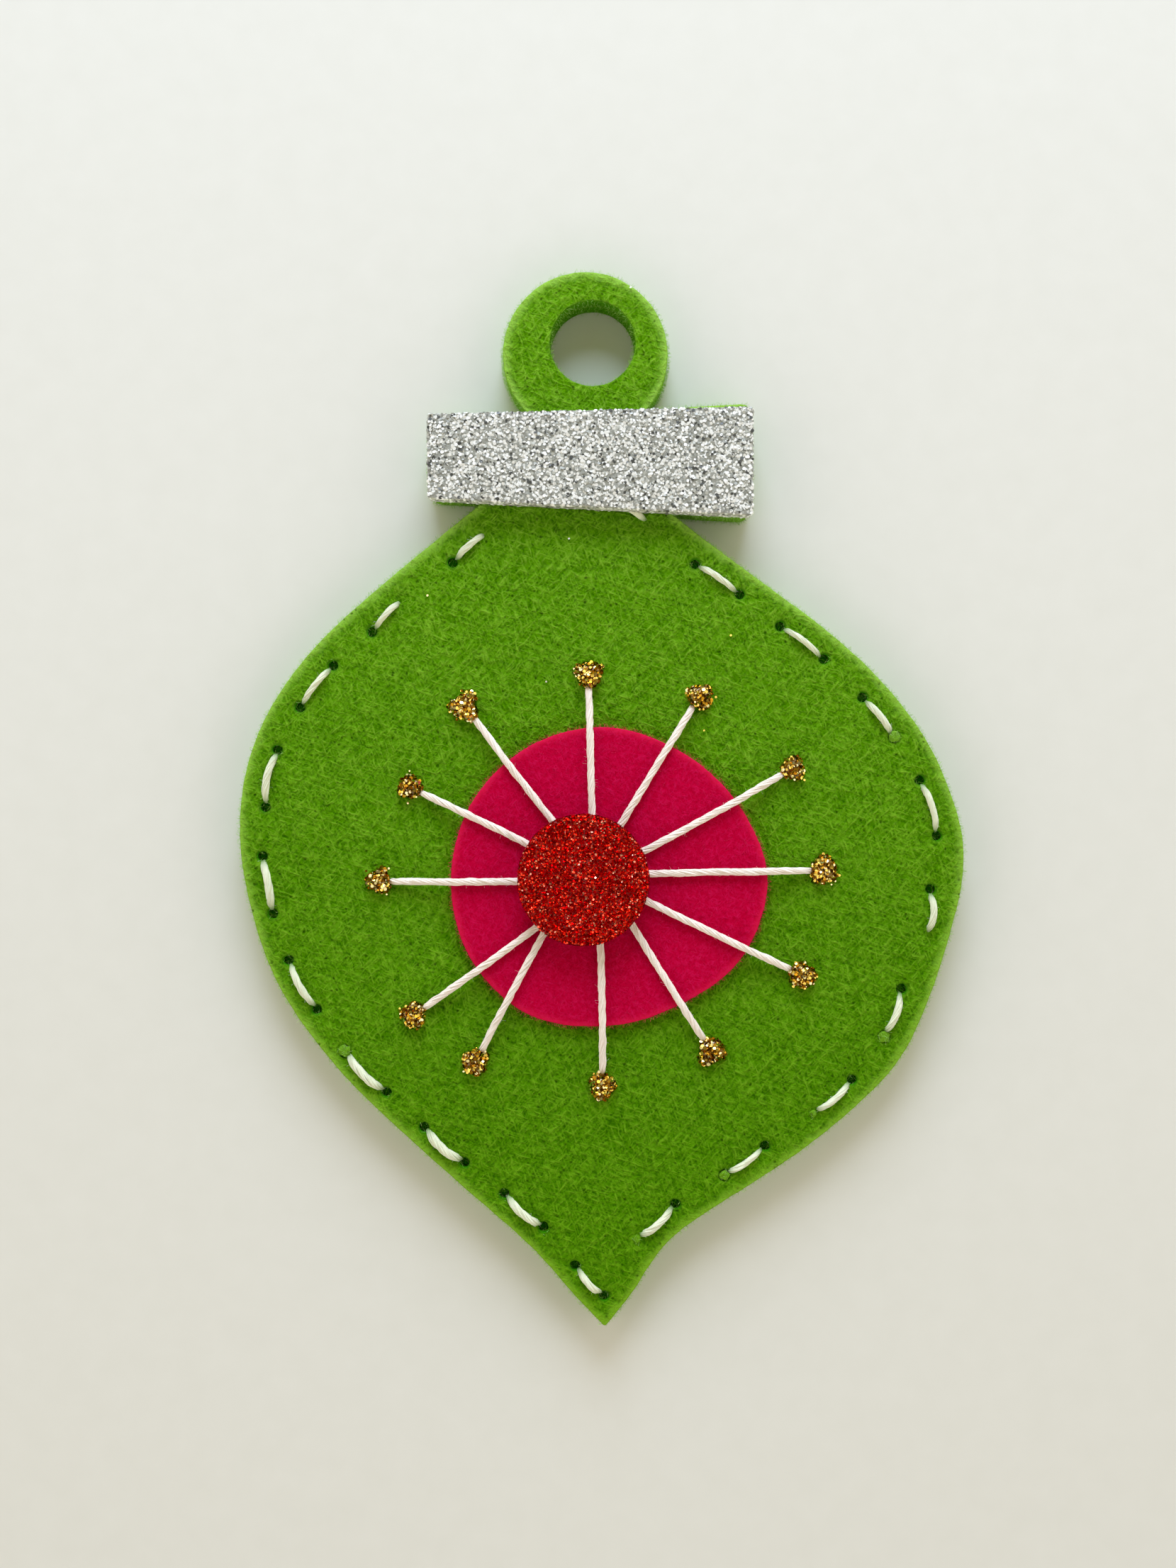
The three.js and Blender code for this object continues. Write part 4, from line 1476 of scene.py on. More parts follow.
    def build(self) -> "CutSheet":
        """Builds the piece as one closed mesh, with its rims and bare places marked.

        Returns:
            The sheet itself.
        """
        rims = self.rims()
        flat, triangles, rings = self.fill(rims)
        count = len(flat)
        fronts, backs = self.front_height(flat), self.back_height(flat)
        points = [np.column_stack([flat, fronts]), np.column_stack([flat, backs])]
        edges = [rim for rim, _, _, cut in rims if cut is not Cut.NEEDLE]
        room, outer = nearest(flat, np.concatenate(edges)), nearest(flat, edges[0])
        # Paler band along the outer outline, partly painted highlight.
        fade = self.rim_highlight_share * np.exp(-outer / self.rim_highlight_reach)
        bare = np.ones(count)
        for cover in self.covers:
            bare[inside(flat, cover)] = 0
        none = np.zeros(count)
        marks = {
            "rim": [fade, fade], "bare": [bare, none + 1], "cut": [none, none],
            "deep": [none, none], "room": [room * MM, room * MM],
        }
        faces = [*triangles, *([i + count for i in reversed(t)] for t in triangles)]
        turns = 0.5 * pi * np.arange(1, self.rim_steps + 1) / self.rim_steps
        total = 2 * count
        for (_, out, radius, cut), ring in zip(rims, rings):
            rows = [list(ring)]
            levels = [(fronts, t, -1) for t in turns] + [(backs, t, 1) for t in reversed(turns)]
            for level, turn, way in levels:
                spot = flat[ring] + out * (radius * sin(turn))
                height = level[ring] + way * radius * (1 - cos(turn))
                points.append(np.column_stack([spot, height]))
                rows.append(list(range(total, total + len(ring))))
                # Rims are paler towards the top, partly painted highlight, and darker down the sides of holes, which
                # is painted shade.
                values = {
                    "rim": cut.rim_low + (cut.rim_high - cut.rim_low) * cos(turn),
                    "bare": cut.bare,
                    "cut": sin(turn) ** 4,
                    "deep": cut.deep * sin(turn) ** 2,
                    "room": self.wall_room * MM,
                }
                for key, value in values.items():
                    marks[key].append(np.full(len(ring), value))
                total += len(ring)
            rows.append([i + count for i in ring])
            for upper, lower in zip(rows, rows[1:]):
                for i in range(len(ring)):
                    j = (i + 1) % len(ring)
                    faces.append([upper[i], lower[i], lower[j], upper[j]])
        self.piece = mesh_piece(self.name, np.concatenate(points), faces)
        for key, parts in marks.items():
            store(self.piece, key, np.concatenate(parts))
        return self

    def flat_area(self) -> float:
        """Area of the cut shape, in square metres."""
        openings = sum(abs(area_of(opening)) for opening in self.openings)
        return (abs(area_of(self.outline)) - openings) * MM * MM

    def flat_size(self) -> Range:
        """Width and length that the shape was cut from, in metres."""
        size = (self.outline.max(axis=0) - self.outline.min(axis=0)) * MM
        return float(size[0]), float(size[1])


@dataclass(frozen=True)
class Cover:
    """How many small things cover a piece, and which of its faces.

    Attributes:
        density: Their number to a square millimetre.
    """

    facing: Facing
    density: float

    def sizes(self) -> dict[str, Any]:
        """Inputs of the tree that makes them, by name."""
        raise NotImplementedError

    def lay(self, coat: Recipe, source: Piece, name: str, finish: Material, seed: int) -> Piece:
        """Covers a piece.

        Args:
            coat: The tree that makes them.
            source: The piece.
            name: Name of the new piece.
            finish: Their material.
            seed: Seed of everything random about them.

        Returns:
            All of them as one piece.
        """
        low, high = self.facing.value
        return coat.run(
            source, name, Slope_From=low, Slope_To=high, Density=self.density / MM**2,
            Seed=seed, Material=finish, **self.sizes(),
        )


@dataclass(frozen=True)
class Nap(Cover):
    """How the loose fibres of a sheet lie.

    Attributes:
        length: Mean length, in millimetres.
        middle: Middle control point of a fibre of length 1 that leaves along +X and rises along +Z.
        end: End of that fibre.
        bends: Straight stretches that a fibre is made of.
    """

    length: float
    thickness: float
    curl: float
    middle: Triple
    end: Triple
    bends: int = 3

    def sizes(self) -> dict[str, Any]:
        """Inputs of the fibre coat."""
        return {
            "Length": self.length * MM, "Thickness": self.thickness * MM, "Curl": self.curl * MM,
            "Middle": self.middle, "End": self.end, "Bends": self.bends,
        }


LYING_NAP = Nap(
    Facing.FRONT, density=0.5, length=2.0, thickness=0.012, curl=1.1,
    middle=(0.5, 0.0, 0.05), end=(1.0, 0.0, -0.01), bends=5,
)
CUT_NAP = Nap(
    Facing.EDGE, density=10.0, length=0.46, thickness=0.016, curl=0.3,
    middle=(0.35, 0.0, 0.4), end=(0.62, 0.0, 0.68),
)
BACK_NAP = Nap(
    Facing.BACK, density=0.9, length=1.7, thickness=0.013, curl=1.3,
    middle=(0.5, 0.0, 0.06), end=(1.0, 0.0, -0.01), bends=5,
)
FINE_NAP = Nap(
    Facing.FRONT, density=1.6, length=0.8, thickness=0.008, curl=0.8,
    middle=(0.5, 0.0, 0.06), end=(1.0, 0.0, -0.02),
)
FLOSS_NAP = Nap(
    Facing.UPPER, density=0.9, length=0.5, thickness=0.006, curl=0.5,
    middle=(0.45, 0.0, 0.1), end=(0.95, 0.0, 0.02),
)
PLUG_NAP = Nap(
    Facing.UPPER, density=14.0, length=0.5, thickness=0.014, curl=0.4,
    middle=(0.5, 0.0, 0.15), end=(1.0, 0.0, 0.05),
)


@dataclass(frozen=True)
class Flakes(Cover):
    """How the flakes of a coat of glitter lie.

    Attributes:
        flake: Mean width of a flake, in millimetres.
        spread: How far their widths differ, as a share.
    """

    flake: float
    tilt: float
    spread: float = 0.35
    lift: float = 0.1

    def sizes(self) -> dict[str, Any]:
        """Inputs of the glitter coat."""
        lengths = {"Flake": self.flake * MM, "Lift": self.lift * MM}
        return lengths | {"Spread": self.spread, "Tilt": self.tilt}


FOAM_FLAKES = Flakes(Facing.UPPER, density=17.0, flake=0.36, tilt=0.25)
FINE_FLAKES = Flakes(Facing.UPPER, density=46.0, flake=0.24, tilt=0.5)
DROP_FLAKES = Flakes(Facing.DOME, density=20.0, flake=0.38, tilt=0.75, spread=0.3, lift=0.22)


@dataclass
class FeltSheet(CutSheet):
    """A cut piece of felt with a nap of loose fibres."""

    naps: tuple[Nap, ...] = ()
    rests_on: tuple[str, ...] = ()

    def dress(self, coat: FibreCoat, felt: Material, fibre: Material, rim_fibre: Material) -> None:
        """Gives the sheet its material and its nap.

        Args:
            coat: The tree that makes fibres.
            felt: Material of the sheet.
            fibre: Material of the fibres on its faces.
            rim_fibre: Material of the fibres on its cut edges.
        """
        self.piece.data.materials.append(felt)
        place(self.piece, self.slot, self.node)
        fibres = []
        for number, nap in enumerate(self.naps, 1):
            finish = rim_fibre if nap.facing is Facing.EDGE else fibre
            seed = self.seed * NAP_SEEDS + number
            tuft = nap.lay(coat, self.piece, f"{self.name}_nap_{number}", finish, seed)
            fibres.append(place(tuft, self.slot))
        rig.sheet(
            self.piece, flat=self.flat_size(), held="laid", rests_on=list(self.rests_on),
            area=self.flat_area(), with_pieces=fibres,
        )


@dataclass
class GlitterFoam(CutSheet):
    """A piece cut from a foam sheet with a coat of glitter on its face."""

    flakes: Flakes = FOAM_FLAKES

    def dress(self, coat: GlitterCoat, foam: Material, glitter: Material) -> None:
        """Gives the foam its material and its glitter.

        Args:
            coat: The tree that strews flakes.
            foam: Material of the foam.
            glitter: Material of the flakes.
        """
        self.piece.data.materials.append(foam)
        place(self.piece, self.slot, self.node)
        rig.padded(self.piece, fill=1.0)
        coated = self.flakes.lay(coat, self.piece, f"{self.name}_glitter", glitter, self.seed)
        place(coated, self.slot)


@dataclass
class Floss:
    """Floss that follows one or more paths, as a loose bundle of strands.

    Attributes:
        diameter: Width of the floss where it lies free.
        strand_share: Width of one strand, as a share of that.
        turn_length: Length over which the bundle twists once.
    """

    name: str
    node: str
    diameter: float
    strands: int = 24
    strand_share: float = 0.28
    turn_length: float = 7.5
    step: float = 0.45
    wander: float = 0.2
    seed: int = 5

    def paths(self) -> list[Points]:
        """Points that the middle of the floss goes through, one list for each length."""
        raise NotImplementedError

    def looseness(self, line: Points) -> np.ndarray:
        """How far the bundle opens at each point of a path, from 0 to 1."""
        raise NotImplementedError

    def dip(self, line: Points) -> np.ndarray:
        """How far the floss has gone into the felt at each point of a path, from 0 to 1, which sets its painted shade.
        """
        return np.zeros(len(line))

    def build(self, plies: PliedFloss, finish: Material) -> Piece:
        """Twists the strands along the paths.

        Args:
            plies: The tree that lays strands round a path.
            finish: Material of the floss.

        Returns:
            The floss as one piece.
        """
        lines = [flow(np.array(path), self.step, False) for path in self.paths()]
        starts = np.cumsum([0, *(len(line) for line in lines)])
        edges = [(i, i + 1) for a, b in zip(starts, starts[1:]) for i in range(a, b - 1)]
        source = mesh_piece(f"{self.name}_path", np.concatenate(lines), [], edges)
        store(source, "loose", np.concatenate([self.looseness(line) for line in lines]))
        # How much painted shade each point of the floss takes.
        store(source, "dip", np.concatenate([self.dip(line) for line in lines]))
        strand = 0.5 * self.diameter * self.strand_share
        piece = plies.run(
            source, self.name, Strands=self.strands, Strand_Radius=strand * MM,
            Ring_Radius=(0.5 * self.diameter - strand) * MM, Turn_Length=self.turn_length * MM,
            Wander=self.wander * MM, Material=finish,
        )
        bpy.data.objects.remove(source)
        store(piece, "bare", 1.0)
        store(piece, "room", 1.0)
        return place(piece, Slot.WHITE_FLOSS, self.node)

    def dress(self, coat: FibreCoat, piece: Piece, fuzz: Material) -> None:
        """Adds the fine fuzz that stands off the strands."""
        place(FLOSS_NAP.lay(coat, piece, f"{self.name}_fuzz", fuzz, self.seed), Slot.WHITE_FLOSS)


@dataclass
class RunningStitch(Floss):
    """Floss sewn up and down through both layers, all the way round the edge.

    Attributes:
        holes: The stitch holes in order, so that the floss comes up at the first.
        back_holes: The same holes in the back layer, two for each back stitch.
        bows: How far the middle of each front stitch lies outside the line between its holes.
        widths: How far the floss of each front stitch opens.
        hug: How far from the middle of a hole the floss goes through it, on the side of the stitch.
        bend: Way out of a hole: half widths along the stitch, and the share of its bow.
        crown: Top of a stitch: shares of its length, of its bow and of half a width in height.
        open_range: Share of the way to a face where it starts to open, and over which it does.
        dip_range: Widths above the face where its painted shade in green starts, and over which it grows.
    """

    holes: list[Points] = field(default_factory=list)
    back_holes: list[tuple[Points, Points]] = field(default_factory=list)
    bows: tuple[float, ...] = ()
    widths: tuple[float, ...] = ()
    front: float = 0.0
    back: float = 0.0
    hug: float = 0.5
    bend: Spots = ((1.4, 0.0), (1.2, 0.0), (0.5, 0.0), (1.3, 0.3))
    crown: tuple[Triple, ...] = ((0.3, 0.8, 0.66), (0.5, 1.0, 0.76), (0.7, 0.8, 0.66))
    throat: float = 0.75
    lip: float = 0.9
    in_hole: float = 0.55
    open_range: Range = (0.3, 0.25)
    taper: float = 0.35
    dip_range: Range = (0.25, 0.6)
    back_sink: float = 1.15
    turn_drop: float = 0.4

    def over(
        self, start: Points, end: Points, level: float, sink: float, bow: float
    ) -> list[Points]:
        """One stitch that lies on a face between two holes.

        Args:
            start: Hole that the floss comes out of.
            end: Hole that it goes into.
            level: Height of the face.
            sink: How far below the face the floss starts and ends, negative on the back.
            bow: How far its middle lies to the left of the straight line.

        Returns:
            Points from one hole to the other.
        """
        along = (end - start) / norm(end - start)
        aside = np.array([-along[1], along[0]]) * bow
        half = copysign(self.diameter / 2, sink)
        step = 0.5 * self.diameter * along
        first, last = start + along * self.hug, end - along * self.hug
        rises = (-sink, -self.throat * sink, -self.lip * half, 0.0)
        up, down = (
            [
                (hole + reach * way + bowed * aside, rise)
                for (reach, bowed), rise in zip(self.bend, rises)
            ]
            for hole, way in ((first, step), (last, -step))
        )
        top = [
            ((1 - share) * first + share * last + bowed * aside, rise * half)
            for share, bowed, rise in self.crown
        ]
        return [np.array([*spot, level + rise]) for spot, rise in (*up, *top, *reversed(down))]

    def looseness(self, line: Points) -> np.ndarray:
        """Tight in the holes, open on the faces, and widest in the middle of each front stitch.

        Args:
            line: Points along the floss.

        Returns:
            How far it opens at each point.
        """
        above = (line[:, 2] - 0.5 * (self.front + self.back)) / (self.front - self.back)
        start, over = self.open_range
        opened = np.clip((np.abs(above) - start) / over, 0, 1)
        opened = self.in_hole + (1 - self.in_hole) * opened
        ends = np.array(self.holes).reshape(-1, 2, 2)
        away = norm(line[:, None, :2] - ends.mean(axis=1), axis=2)
        stitch = away.argmin(axis=1)
        share = 2 * away.min(axis=1) / norm(ends[stitch, 0] - ends[stitch, 1], axis=1)
        tapered = np.array(self.widths)[stitch] * (1 - self.taper * np.clip(share, 0, 1) ** 2)
        return opened * np.where(above > 0, tapered, 1.0)

    def dip(self, line: Points) -> np.ndarray:
        """Grows from the faces inwards."""
        below = np.minimum(self.front - line[:, 2], line[:, 2] - self.back) / self.diameter
        return np.clip((below + self.dip_range[0]) / self.dip_range[1], 0, 1)

    def paths(self) -> list[Points]:
        """The whole stitch, front and back, as one length.

        Returns:
            One list of points.
        """
        points: list[Points] = []
        sunk = self.back + self.back_sink * self.diameter
        turn = 0.5 * (self.front + self.back) - self.turn_drop * self.diameter
        for i, bow in enumerate(self.bows):
            start, end = self.holes[2 * i : 2 * i + 2]
            points += self.over(start, end, self.front, self.front - turn, bow)
            if i < len(self.back_holes):
                points += self.over(*self.back_holes[i], sunk, sunk - turn, 0.0)
        return [np.array(points)]


@dataclass
class StarRays(Floss):
    """Rays of floss over the pink disc, each from a hole under the red disc to a gold drop.

    Attributes:
        rays: Inner and outer hole of each ray.
        drop_reach: How far from the middle of its drop a ray goes under.
        nestle: Height of the floss over the felt that it lies on, in half widths.
    """

    rays: list[tuple[Points, Points]] = field(default_factory=list)
    drops: list[Points] = field(default_factory=list)
    drop_reach: float = 1.3
    pink_outline: Points | None = None
    green_level: float = 0.0
    pink_level: float = 0.0
    nestle: float = 0.9
    sway: float = 0.12
    sway_step: float = 2.4
    tight: float = 0.65
    tight_reach: float = 2.5
    trials: int = 200

    def edge_share(self, inner: Points, outer: Points) -> float:
        """Finds where a ray leaves the pink disc.

        Args:
            inner: Inner end of the ray.
            outer: Outer end.

        Returns:
            Share of the way out.
        """
        shares = np.linspace(0, 1, self.trials)
        spots = inner + shares[:, None] * (outer - inner)
        return float(shares[inside(spots, self.pink_outline)].max())

    def looseness(self, line: Points) -> np.ndarray:
        """Tight at both ends and open between them."""
        from_end = np.minimum(np.arange(len(line)), np.arange(len(line))[::-1]) * self.step
        return self.tight + (1 - self.tight) * np.clip(from_end / self.tight_reach, 0, 1)

    def at_drop(self, inner: Points, outer: Points) -> Points:
        """Place where a ray goes under the edge of its gold drop."""
        drop = min(self.drops, key=lambda d: norm(d - outer))
        return drop - (drop - inner) / norm(drop - inner) * self.drop_reach

    def paths(self) -> list[Points]:
        """One length for each ray.

        Returns:
            A list of points for each.
        """
        half = self.diameter / 2
        paths = []
        for number, (inner, hole) in enumerate(self.rays):
            outer = self.at_drop(inner, hole)
            along = outer - inner
            length = norm(along)
            edge = self.edge_share(inner, outer) * length
            aside = np.array([-along[1], along[0]]) / length
            low, high = (
                level + self.nestle * half for level in (self.green_level, self.pink_level)
            )
            # Distance along the ray and height: out of its hole, over the pink, down to the green
            spots = [
                (0.0, self.pink_level - 2.4 * half),
                (0.6 * half, high - 0.5 * half),
                (2.2 * half, high),
                (0.5 * edge, high),
                (edge - 0.3, high),
                (0.6 * edge + 0.4 * length, 0.55 * high + 0.45 * low),
                (0.3 * edge + 0.7 * length, 0.2 * high + 0.8 * low),
                (length - 1.4 * half, low - 0.1 * half),
                (length, self.green_level - 1.5 * half),
            ]
            sway = self.sway * sin(self.sway_step * number)
            path = []
            for reach, height in spots:
                bow = sway * sin(pi * reach / length)
                path.append(np.array([*(inner + along / length * reach + aside * bow), height]))
            paths.append(np.array(path))
        return paths


@dataclass
class GoldDrop:
    """A drop of glitter glue at the end of a ray: an uneven dome with flakes all over it.

    Attributes:
        lobes: How far it runs out to some sides, as a share.
        fullness: How it bulges, less for a fuller drop.
    """

    node: str
    seed: int
    rows: int = 8
    sides: int = 24
    lump: float = 0.3
    lump_scale: float = 1.2
    lump_rise: float = 1.5
    lump_step: float = 5.3
    lobes: float = 0.12
    lobe_count: int = 3
    lobe_turn: float = 0.0
    squat: float = 0.8
    foot: float = 0.92
    fullness: float = 0.55
    sunk: float = 0.15
    flakes: Flakes = DROP_FLAKES

    def build(self, glue: Material) -> Piece:
        """Builds the dome.

        Args:
            glue: Material of the dome.

        Returns:
            The dome as one piece.
        """
        low, high = (np.array(corner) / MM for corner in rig.box(self.node))
        centre, radius = (low + high) / 2, (high - low)[:2].mean() / 2
        height = self.squat * (high[2] - low[2])
        bottom = low[2] - self.sunk
        points = [(centre[0], centre[1], bottom)]
        for row in range(self.rows):
            rise = row / self.rows
            for side in range(self.sides):
                turn = 2 * pi * side / self.sides
                way = Vector((cos(turn), sin(turn), rise * self.lump_rise))
                spot = way * self.lump_scale + Vector((0, 0, self.lump_step * self.seed))
                lump = 1 + self.lump * noise.noise(spot)
                lobe = cos(self.lobe_count * (turn - self.lobe_turn))
                lump += self.lobes * (1 - rise) * lobe
                bulge = cos(0.5 * pi * rise) ** self.fullness
                out = self.foot * radius * lump * bulge
                level = bottom + (height + self.sunk) * sin(0.5 * pi * rise) * lump
                points.append((centre[0] + out * way.x, centre[1] + out * way.y, level))
        points.append((centre[0], centre[1], low[2] + height))
        faces = [(0, 1 + (s + 1) % self.sides, 1 + s) for s in range(self.sides)]
        for row in range(self.rows - 1):
            start = 1 + row * self.sides
            for side in range(self.sides):
                near, after = start + side, start + (side + 1) % self.sides
                faces.append((near, after, after + self.sides, near + self.sides))
        last, top = 1 + (self.rows - 1) * self.sides, len(points) - 1
        faces += [(last + s, last + (s + 1) % self.sides, top) for s in range(self.sides)]
        piece = mesh_piece(f"{self.node}_glue", points, faces)
        piece.data.materials.append(glue)
        store(piece, "bare", 1.0)
        return place(piece, Slot.GOLD_GLUE, self.node)

    def dress(self, coat: GlitterCoat, dome: Piece, glitter: Material) -> None:
        """Covers the dome with flakes."""
        coated = self.flakes.lay(coat, dome, f"{self.node}_glitter", glitter, self.seed)
        place(coated, Slot.GOLD_GLUE)


@dataclass
class LooseBits:
    """Small things left over from the making: stray flakes on the felt and plugs of felt in holes.

    Attributes:
        gold: Places of single gold flakes.
        silver: Places of single silver flakes.
        plugs: Places of the holes that still hold their plug, and the plug's radius.
        floor_depth: How deep the matted fibres in an open hole lie.
    """

    level: float
    drops: list[Points]
    gold: Spots = ((15.9, 20.2), (-21.4, 25.1), (12.6, 8.5))
    silver: Spots = ((-4.0, 32.1), (3.6, 63.0), (-6.8, 14.5))
    plugs: tuple[Triple, ...] = (
        (-31.6, -31.1, 0.72), (36.1, 7.8, 0.72), (34.9, -29.2, 0.72),
        (14.6, -46.7, 0.6), (4.0, -54.5, 0.5), (25.7, -38.9, 0.45),
    )
    plug_depth: float = 0.22
    plug_detail: int = 3
    plug_pale: float = 0.3
    floor_radius: float = 0.85
    floor_depth: float = 1.6
    floor_detail: int = 2
    lump_rough: float = 0.35
    lump_scale: float = 2.2
    lump_squat: float = 0.55
    flake: float = 0.3
    sizes: Range = (0.7, 1.2)
    leans: Range = (0.35, 0.6)
    lift: float = 0.2
    # Stray flakes draw from the brighter shades, the painted glints among them.
    sparks: Range = (0.5, 1.0)
    strays: tuple[int, int] = (1, 4)
    stray_reach: Range = (1.6, 2.1)
    seed: int = 12

    def flakes(
        self, name: str, spots: Iterable[Sequence[float]], glitter: Material, slot: Slot
    ) -> None:
        """Lays single flakes on the felt.

        Args:
            name: Name of the piece that they make.
            spots: Their places.
            glitter: Their material.
            slot: Its slot in the record.
        """
        draw = random.Random(self.seed)
        points: list[Triple] = []
        faces = []
        sparks = []
        for x, y in spots:
            start = len(points)
            radius = 0.5 * self.flake * draw.uniform(*self.sizes)
            lean_x, lean_y = (draw.choice((-1, 1)) * draw.uniform(*self.leans) for _ in range(2))
            for side in range(FLAKE_SIDES):
                turn = 2 * pi * side / FLAKE_SIDES
                dx, dy = radius * cos(turn), radius * sin(turn)
                height = self.level + self.lift + lean_x * dx + lean_y * dy
                points.append((x + dx, y + dy, height))
            faces.append(tuple(range(start, start + FLAKE_SIDES)))
            sparks += [draw.uniform(*self.sparks)] * FLAKE_SIDES
        piece = mesh_piece(name, points, faces)
        piece.data.materials.append(glitter)
        store(piece, "spark", sparks)
        place(piece, slot)

    def strew(self, gold: Material, silver: Material) -> None:
        """Lays the stray flakes, some of them close to the drops that they came from.

        Args:
            gold: Material of the gold flakes.
            silver: Material of the silver ones.
        """
        draw = random.Random(self.seed + 1)
        spots = list(self.gold)
        for x, y in self.drops:
            for _ in range(draw.randint(*self.strays)):
                turn, reach = draw.uniform(0, 2 * pi), draw.uniform(*self.stray_reach)
                spots.append((x + reach * cos(turn), y + reach * sin(turn)))
        self.flakes("stray_gold_flakes", spots, gold, Slot.GOLD_GLUE)
        self.flakes("stray_silver_flakes", self.silver, silver, Slot.SILVER_FOAM)

    def plug(
        self, holes: list[Points], open_holes: list[Points], felt: Material, coat: FibreCoat,
        fibre: Material,
    ) -> None:
        """Leaves a fuzzy plug of felt in a few stitch holes, and matted fibres deep in the rest.

        Args:
            holes: Middles of the stitch holes.
            open_holes: Middles of those that stay open.
            felt: Material of the plugs.
            coat: The tree that makes fibres.
            fibre: Material of the plugs' fibres.
        """
        shape = bmesh.new()
        plug = (self.plug_depth, self.plug_detail, self.plug_pale)
        floor = (self.floor_depth, self.floor_detail, 0.0)
        lumps = [
            (min(holes, key=lambda h: np.hypot(h[0] - x, h[1] - y)), radius, *plug)
            for x, y, radius in self.plugs
        ]
        lumps += [(hole, self.floor_radius, *floor) for hole in open_holes]
        pale: list[float] = []
        for (x, y), radius, depth, finer, rim in lumps:
            lump = bmesh.ops.create_icosphere(shape, subdivisions=finer, radius=radius * MM)
            pale += [rim] * len(lump["verts"])
            for vert in lump["verts"]:
                spot = vert.co / MM * self.lump_scale + Vector((x, y, 0))
                rough = 1 + self.lump_rough * noise.noise(spot)
                flat = Vector((vert.co.x, vert.co.y, self.lump_squat * vert.co.z))
                vert.co = flat * rough + Vector((x, y, self.level - depth)) * MM
        mesh = bpy.data.meshes.new("hole_plugs")
        shape.to_mesh(mesh)
        shape.free()
        mesh.shade_smooth()
        mesh.materials.append(felt)
        piece = link("hole_plugs", mesh)
        deep = [0.0 if rim else 1.0 for rim in pale]
        for key, value in (("rim", pale), ("deep", deep), ("bare", 1.0), ("room", 1.0)):
            store(piece, key, value)
        place(piece, Slot.GREEN_FELT)
        place(PLUG_NAP.lay(coat, piece, "hole_plugs_nap", fibre, self.seed), Slot.GREEN_FELT)


@dataclass(frozen=True)
class Studio:
    """Camera, paper and light as in the photograph, which was taken from straight above.

    Attributes:
        camera: Place of the lens, in millimetres.
        focal: Focal length, in pixels of the photograph.
        photo_height: Height of the photograph, in pixels.
        fade: Upward slopes between which the light from the sides passes into that from above.
    """

    camera: Triple = (-1.66, 1.92, 162.4)
    focal: float = 1811.0
    photo_height: float = 2212.0
    sensor: float = 36.0
    near: float = 0.01
    paper_size: float = 1.2
    lamp_place: Triple = (0.0, 0.54, 0.26)
    lamp_size: float = 0.36
    lamp_power: float = 2.9
    lamp_tint: Triple = (0.74, 0.9, 1.12)
    room_tint: Colour = (1.045, 0.97, 0.872, 1.0)
    zenith_tint: Colour = (1.06, 1.0, 0.55, 1.0)
    zenith: float = 0.17
    horizon: float = 1.4
    fade: Range = (0.5, 0.8)

    def set_up(self) -> None:
        """Makes the camera, the paper, the lamp and the world."""
        self.add_camera()
        self.add_paper()
        self.add_lamp()
        self.add_world()
        bpy.context.scene.view_settings.view_transform = "Standard"

    def add_camera(self) -> None:
        """Adds the camera, looking straight down with the ring at the top."""
        data = bpy.data.cameras.new("camera")
        data.sensor_width = self.sensor
        data.lens = self.sensor * self.focal / self.photo_height
        data.clip_start = self.near
        bpy.context.scene.camera = link("camera", data)
        bpy.context.scene.camera.location = Vector(self.camera) * MM

    def add_paper(self) -> None:
        """Adds the sheet of paper that the ornament lies on."""
        half = 0.5 * self.paper_size / MM
        corners = [(-half, -half, 0), (half, -half, 0), (half, half, 0), (-half, half, 0)]
        paper = mesh_piece("paper", corners, [(0, 1, 2, 3)])
        paper.data.materials.append(PaperFinish().material())
        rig.stage(paper)

    def add_lamp(self) -> None:
        """Adds the broad soft light that falls from beyond the ring."""
        data = bpy.data.lights.new("window", "AREA")
        data.shape = "DISK"
        data.size = self.lamp_size
        data.energy = self.lamp_power
        data.color = self.lamp_tint
        lamp = link("window", data)
        lamp.location = self.lamp_place
        lamp.rotation_euler = (-Vector(self.lamp_place)).to_track_quat("-Z", "Y").to_euler()

    def add_world(self) -> None:
        """Adds even light from the sides, with less from straight above."""
        world = bpy.data.worlds.new("room")
        world.use_nodes = True
        bench = NodeBench(world.node_tree)
        way = bench.out("ShaderNodeTexCoord", "Generated")
        up = bench.out("ShaderNodeSeparateXYZ", "Z", {"Vector": way})
        level = bench.spread(up, *self.fade, self.horizon, self.zenith)
        background = world.node_tree.nodes["Background"]
        tint = bench.blend(bench.spread(up, *self.fade), self.room_tint, self.zenith_tint)
        world.node_tree.links.new(tint, background.inputs["Color"])
        world.node_tree.links.new(level, background.inputs["Strength"])
        bpy.context.scene.world = world


def centre_of(node: str) -> Points:
    """Middle of a solid seen from the front, in millimetres."""
    low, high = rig.box(node)
    return np.array((low + high) / 2)[:2] / MM


def clockwise(spots: Iterable[Points], centre: Points, start: float) -> list[Points]:
    """Sorts places clockwise.

    Args:
        spots: The places.
        centre: What they lie round.
        start: Angle of the first, in degrees.

    Returns:
        The places in order.
    """
    def turn(spot: Points) -> float:
        """Angle from the start, clockwise."""
        return (start - degrees(atan2(*(spot - centre)[::-1]))) % 360

    return sorted(spots, key=turn)


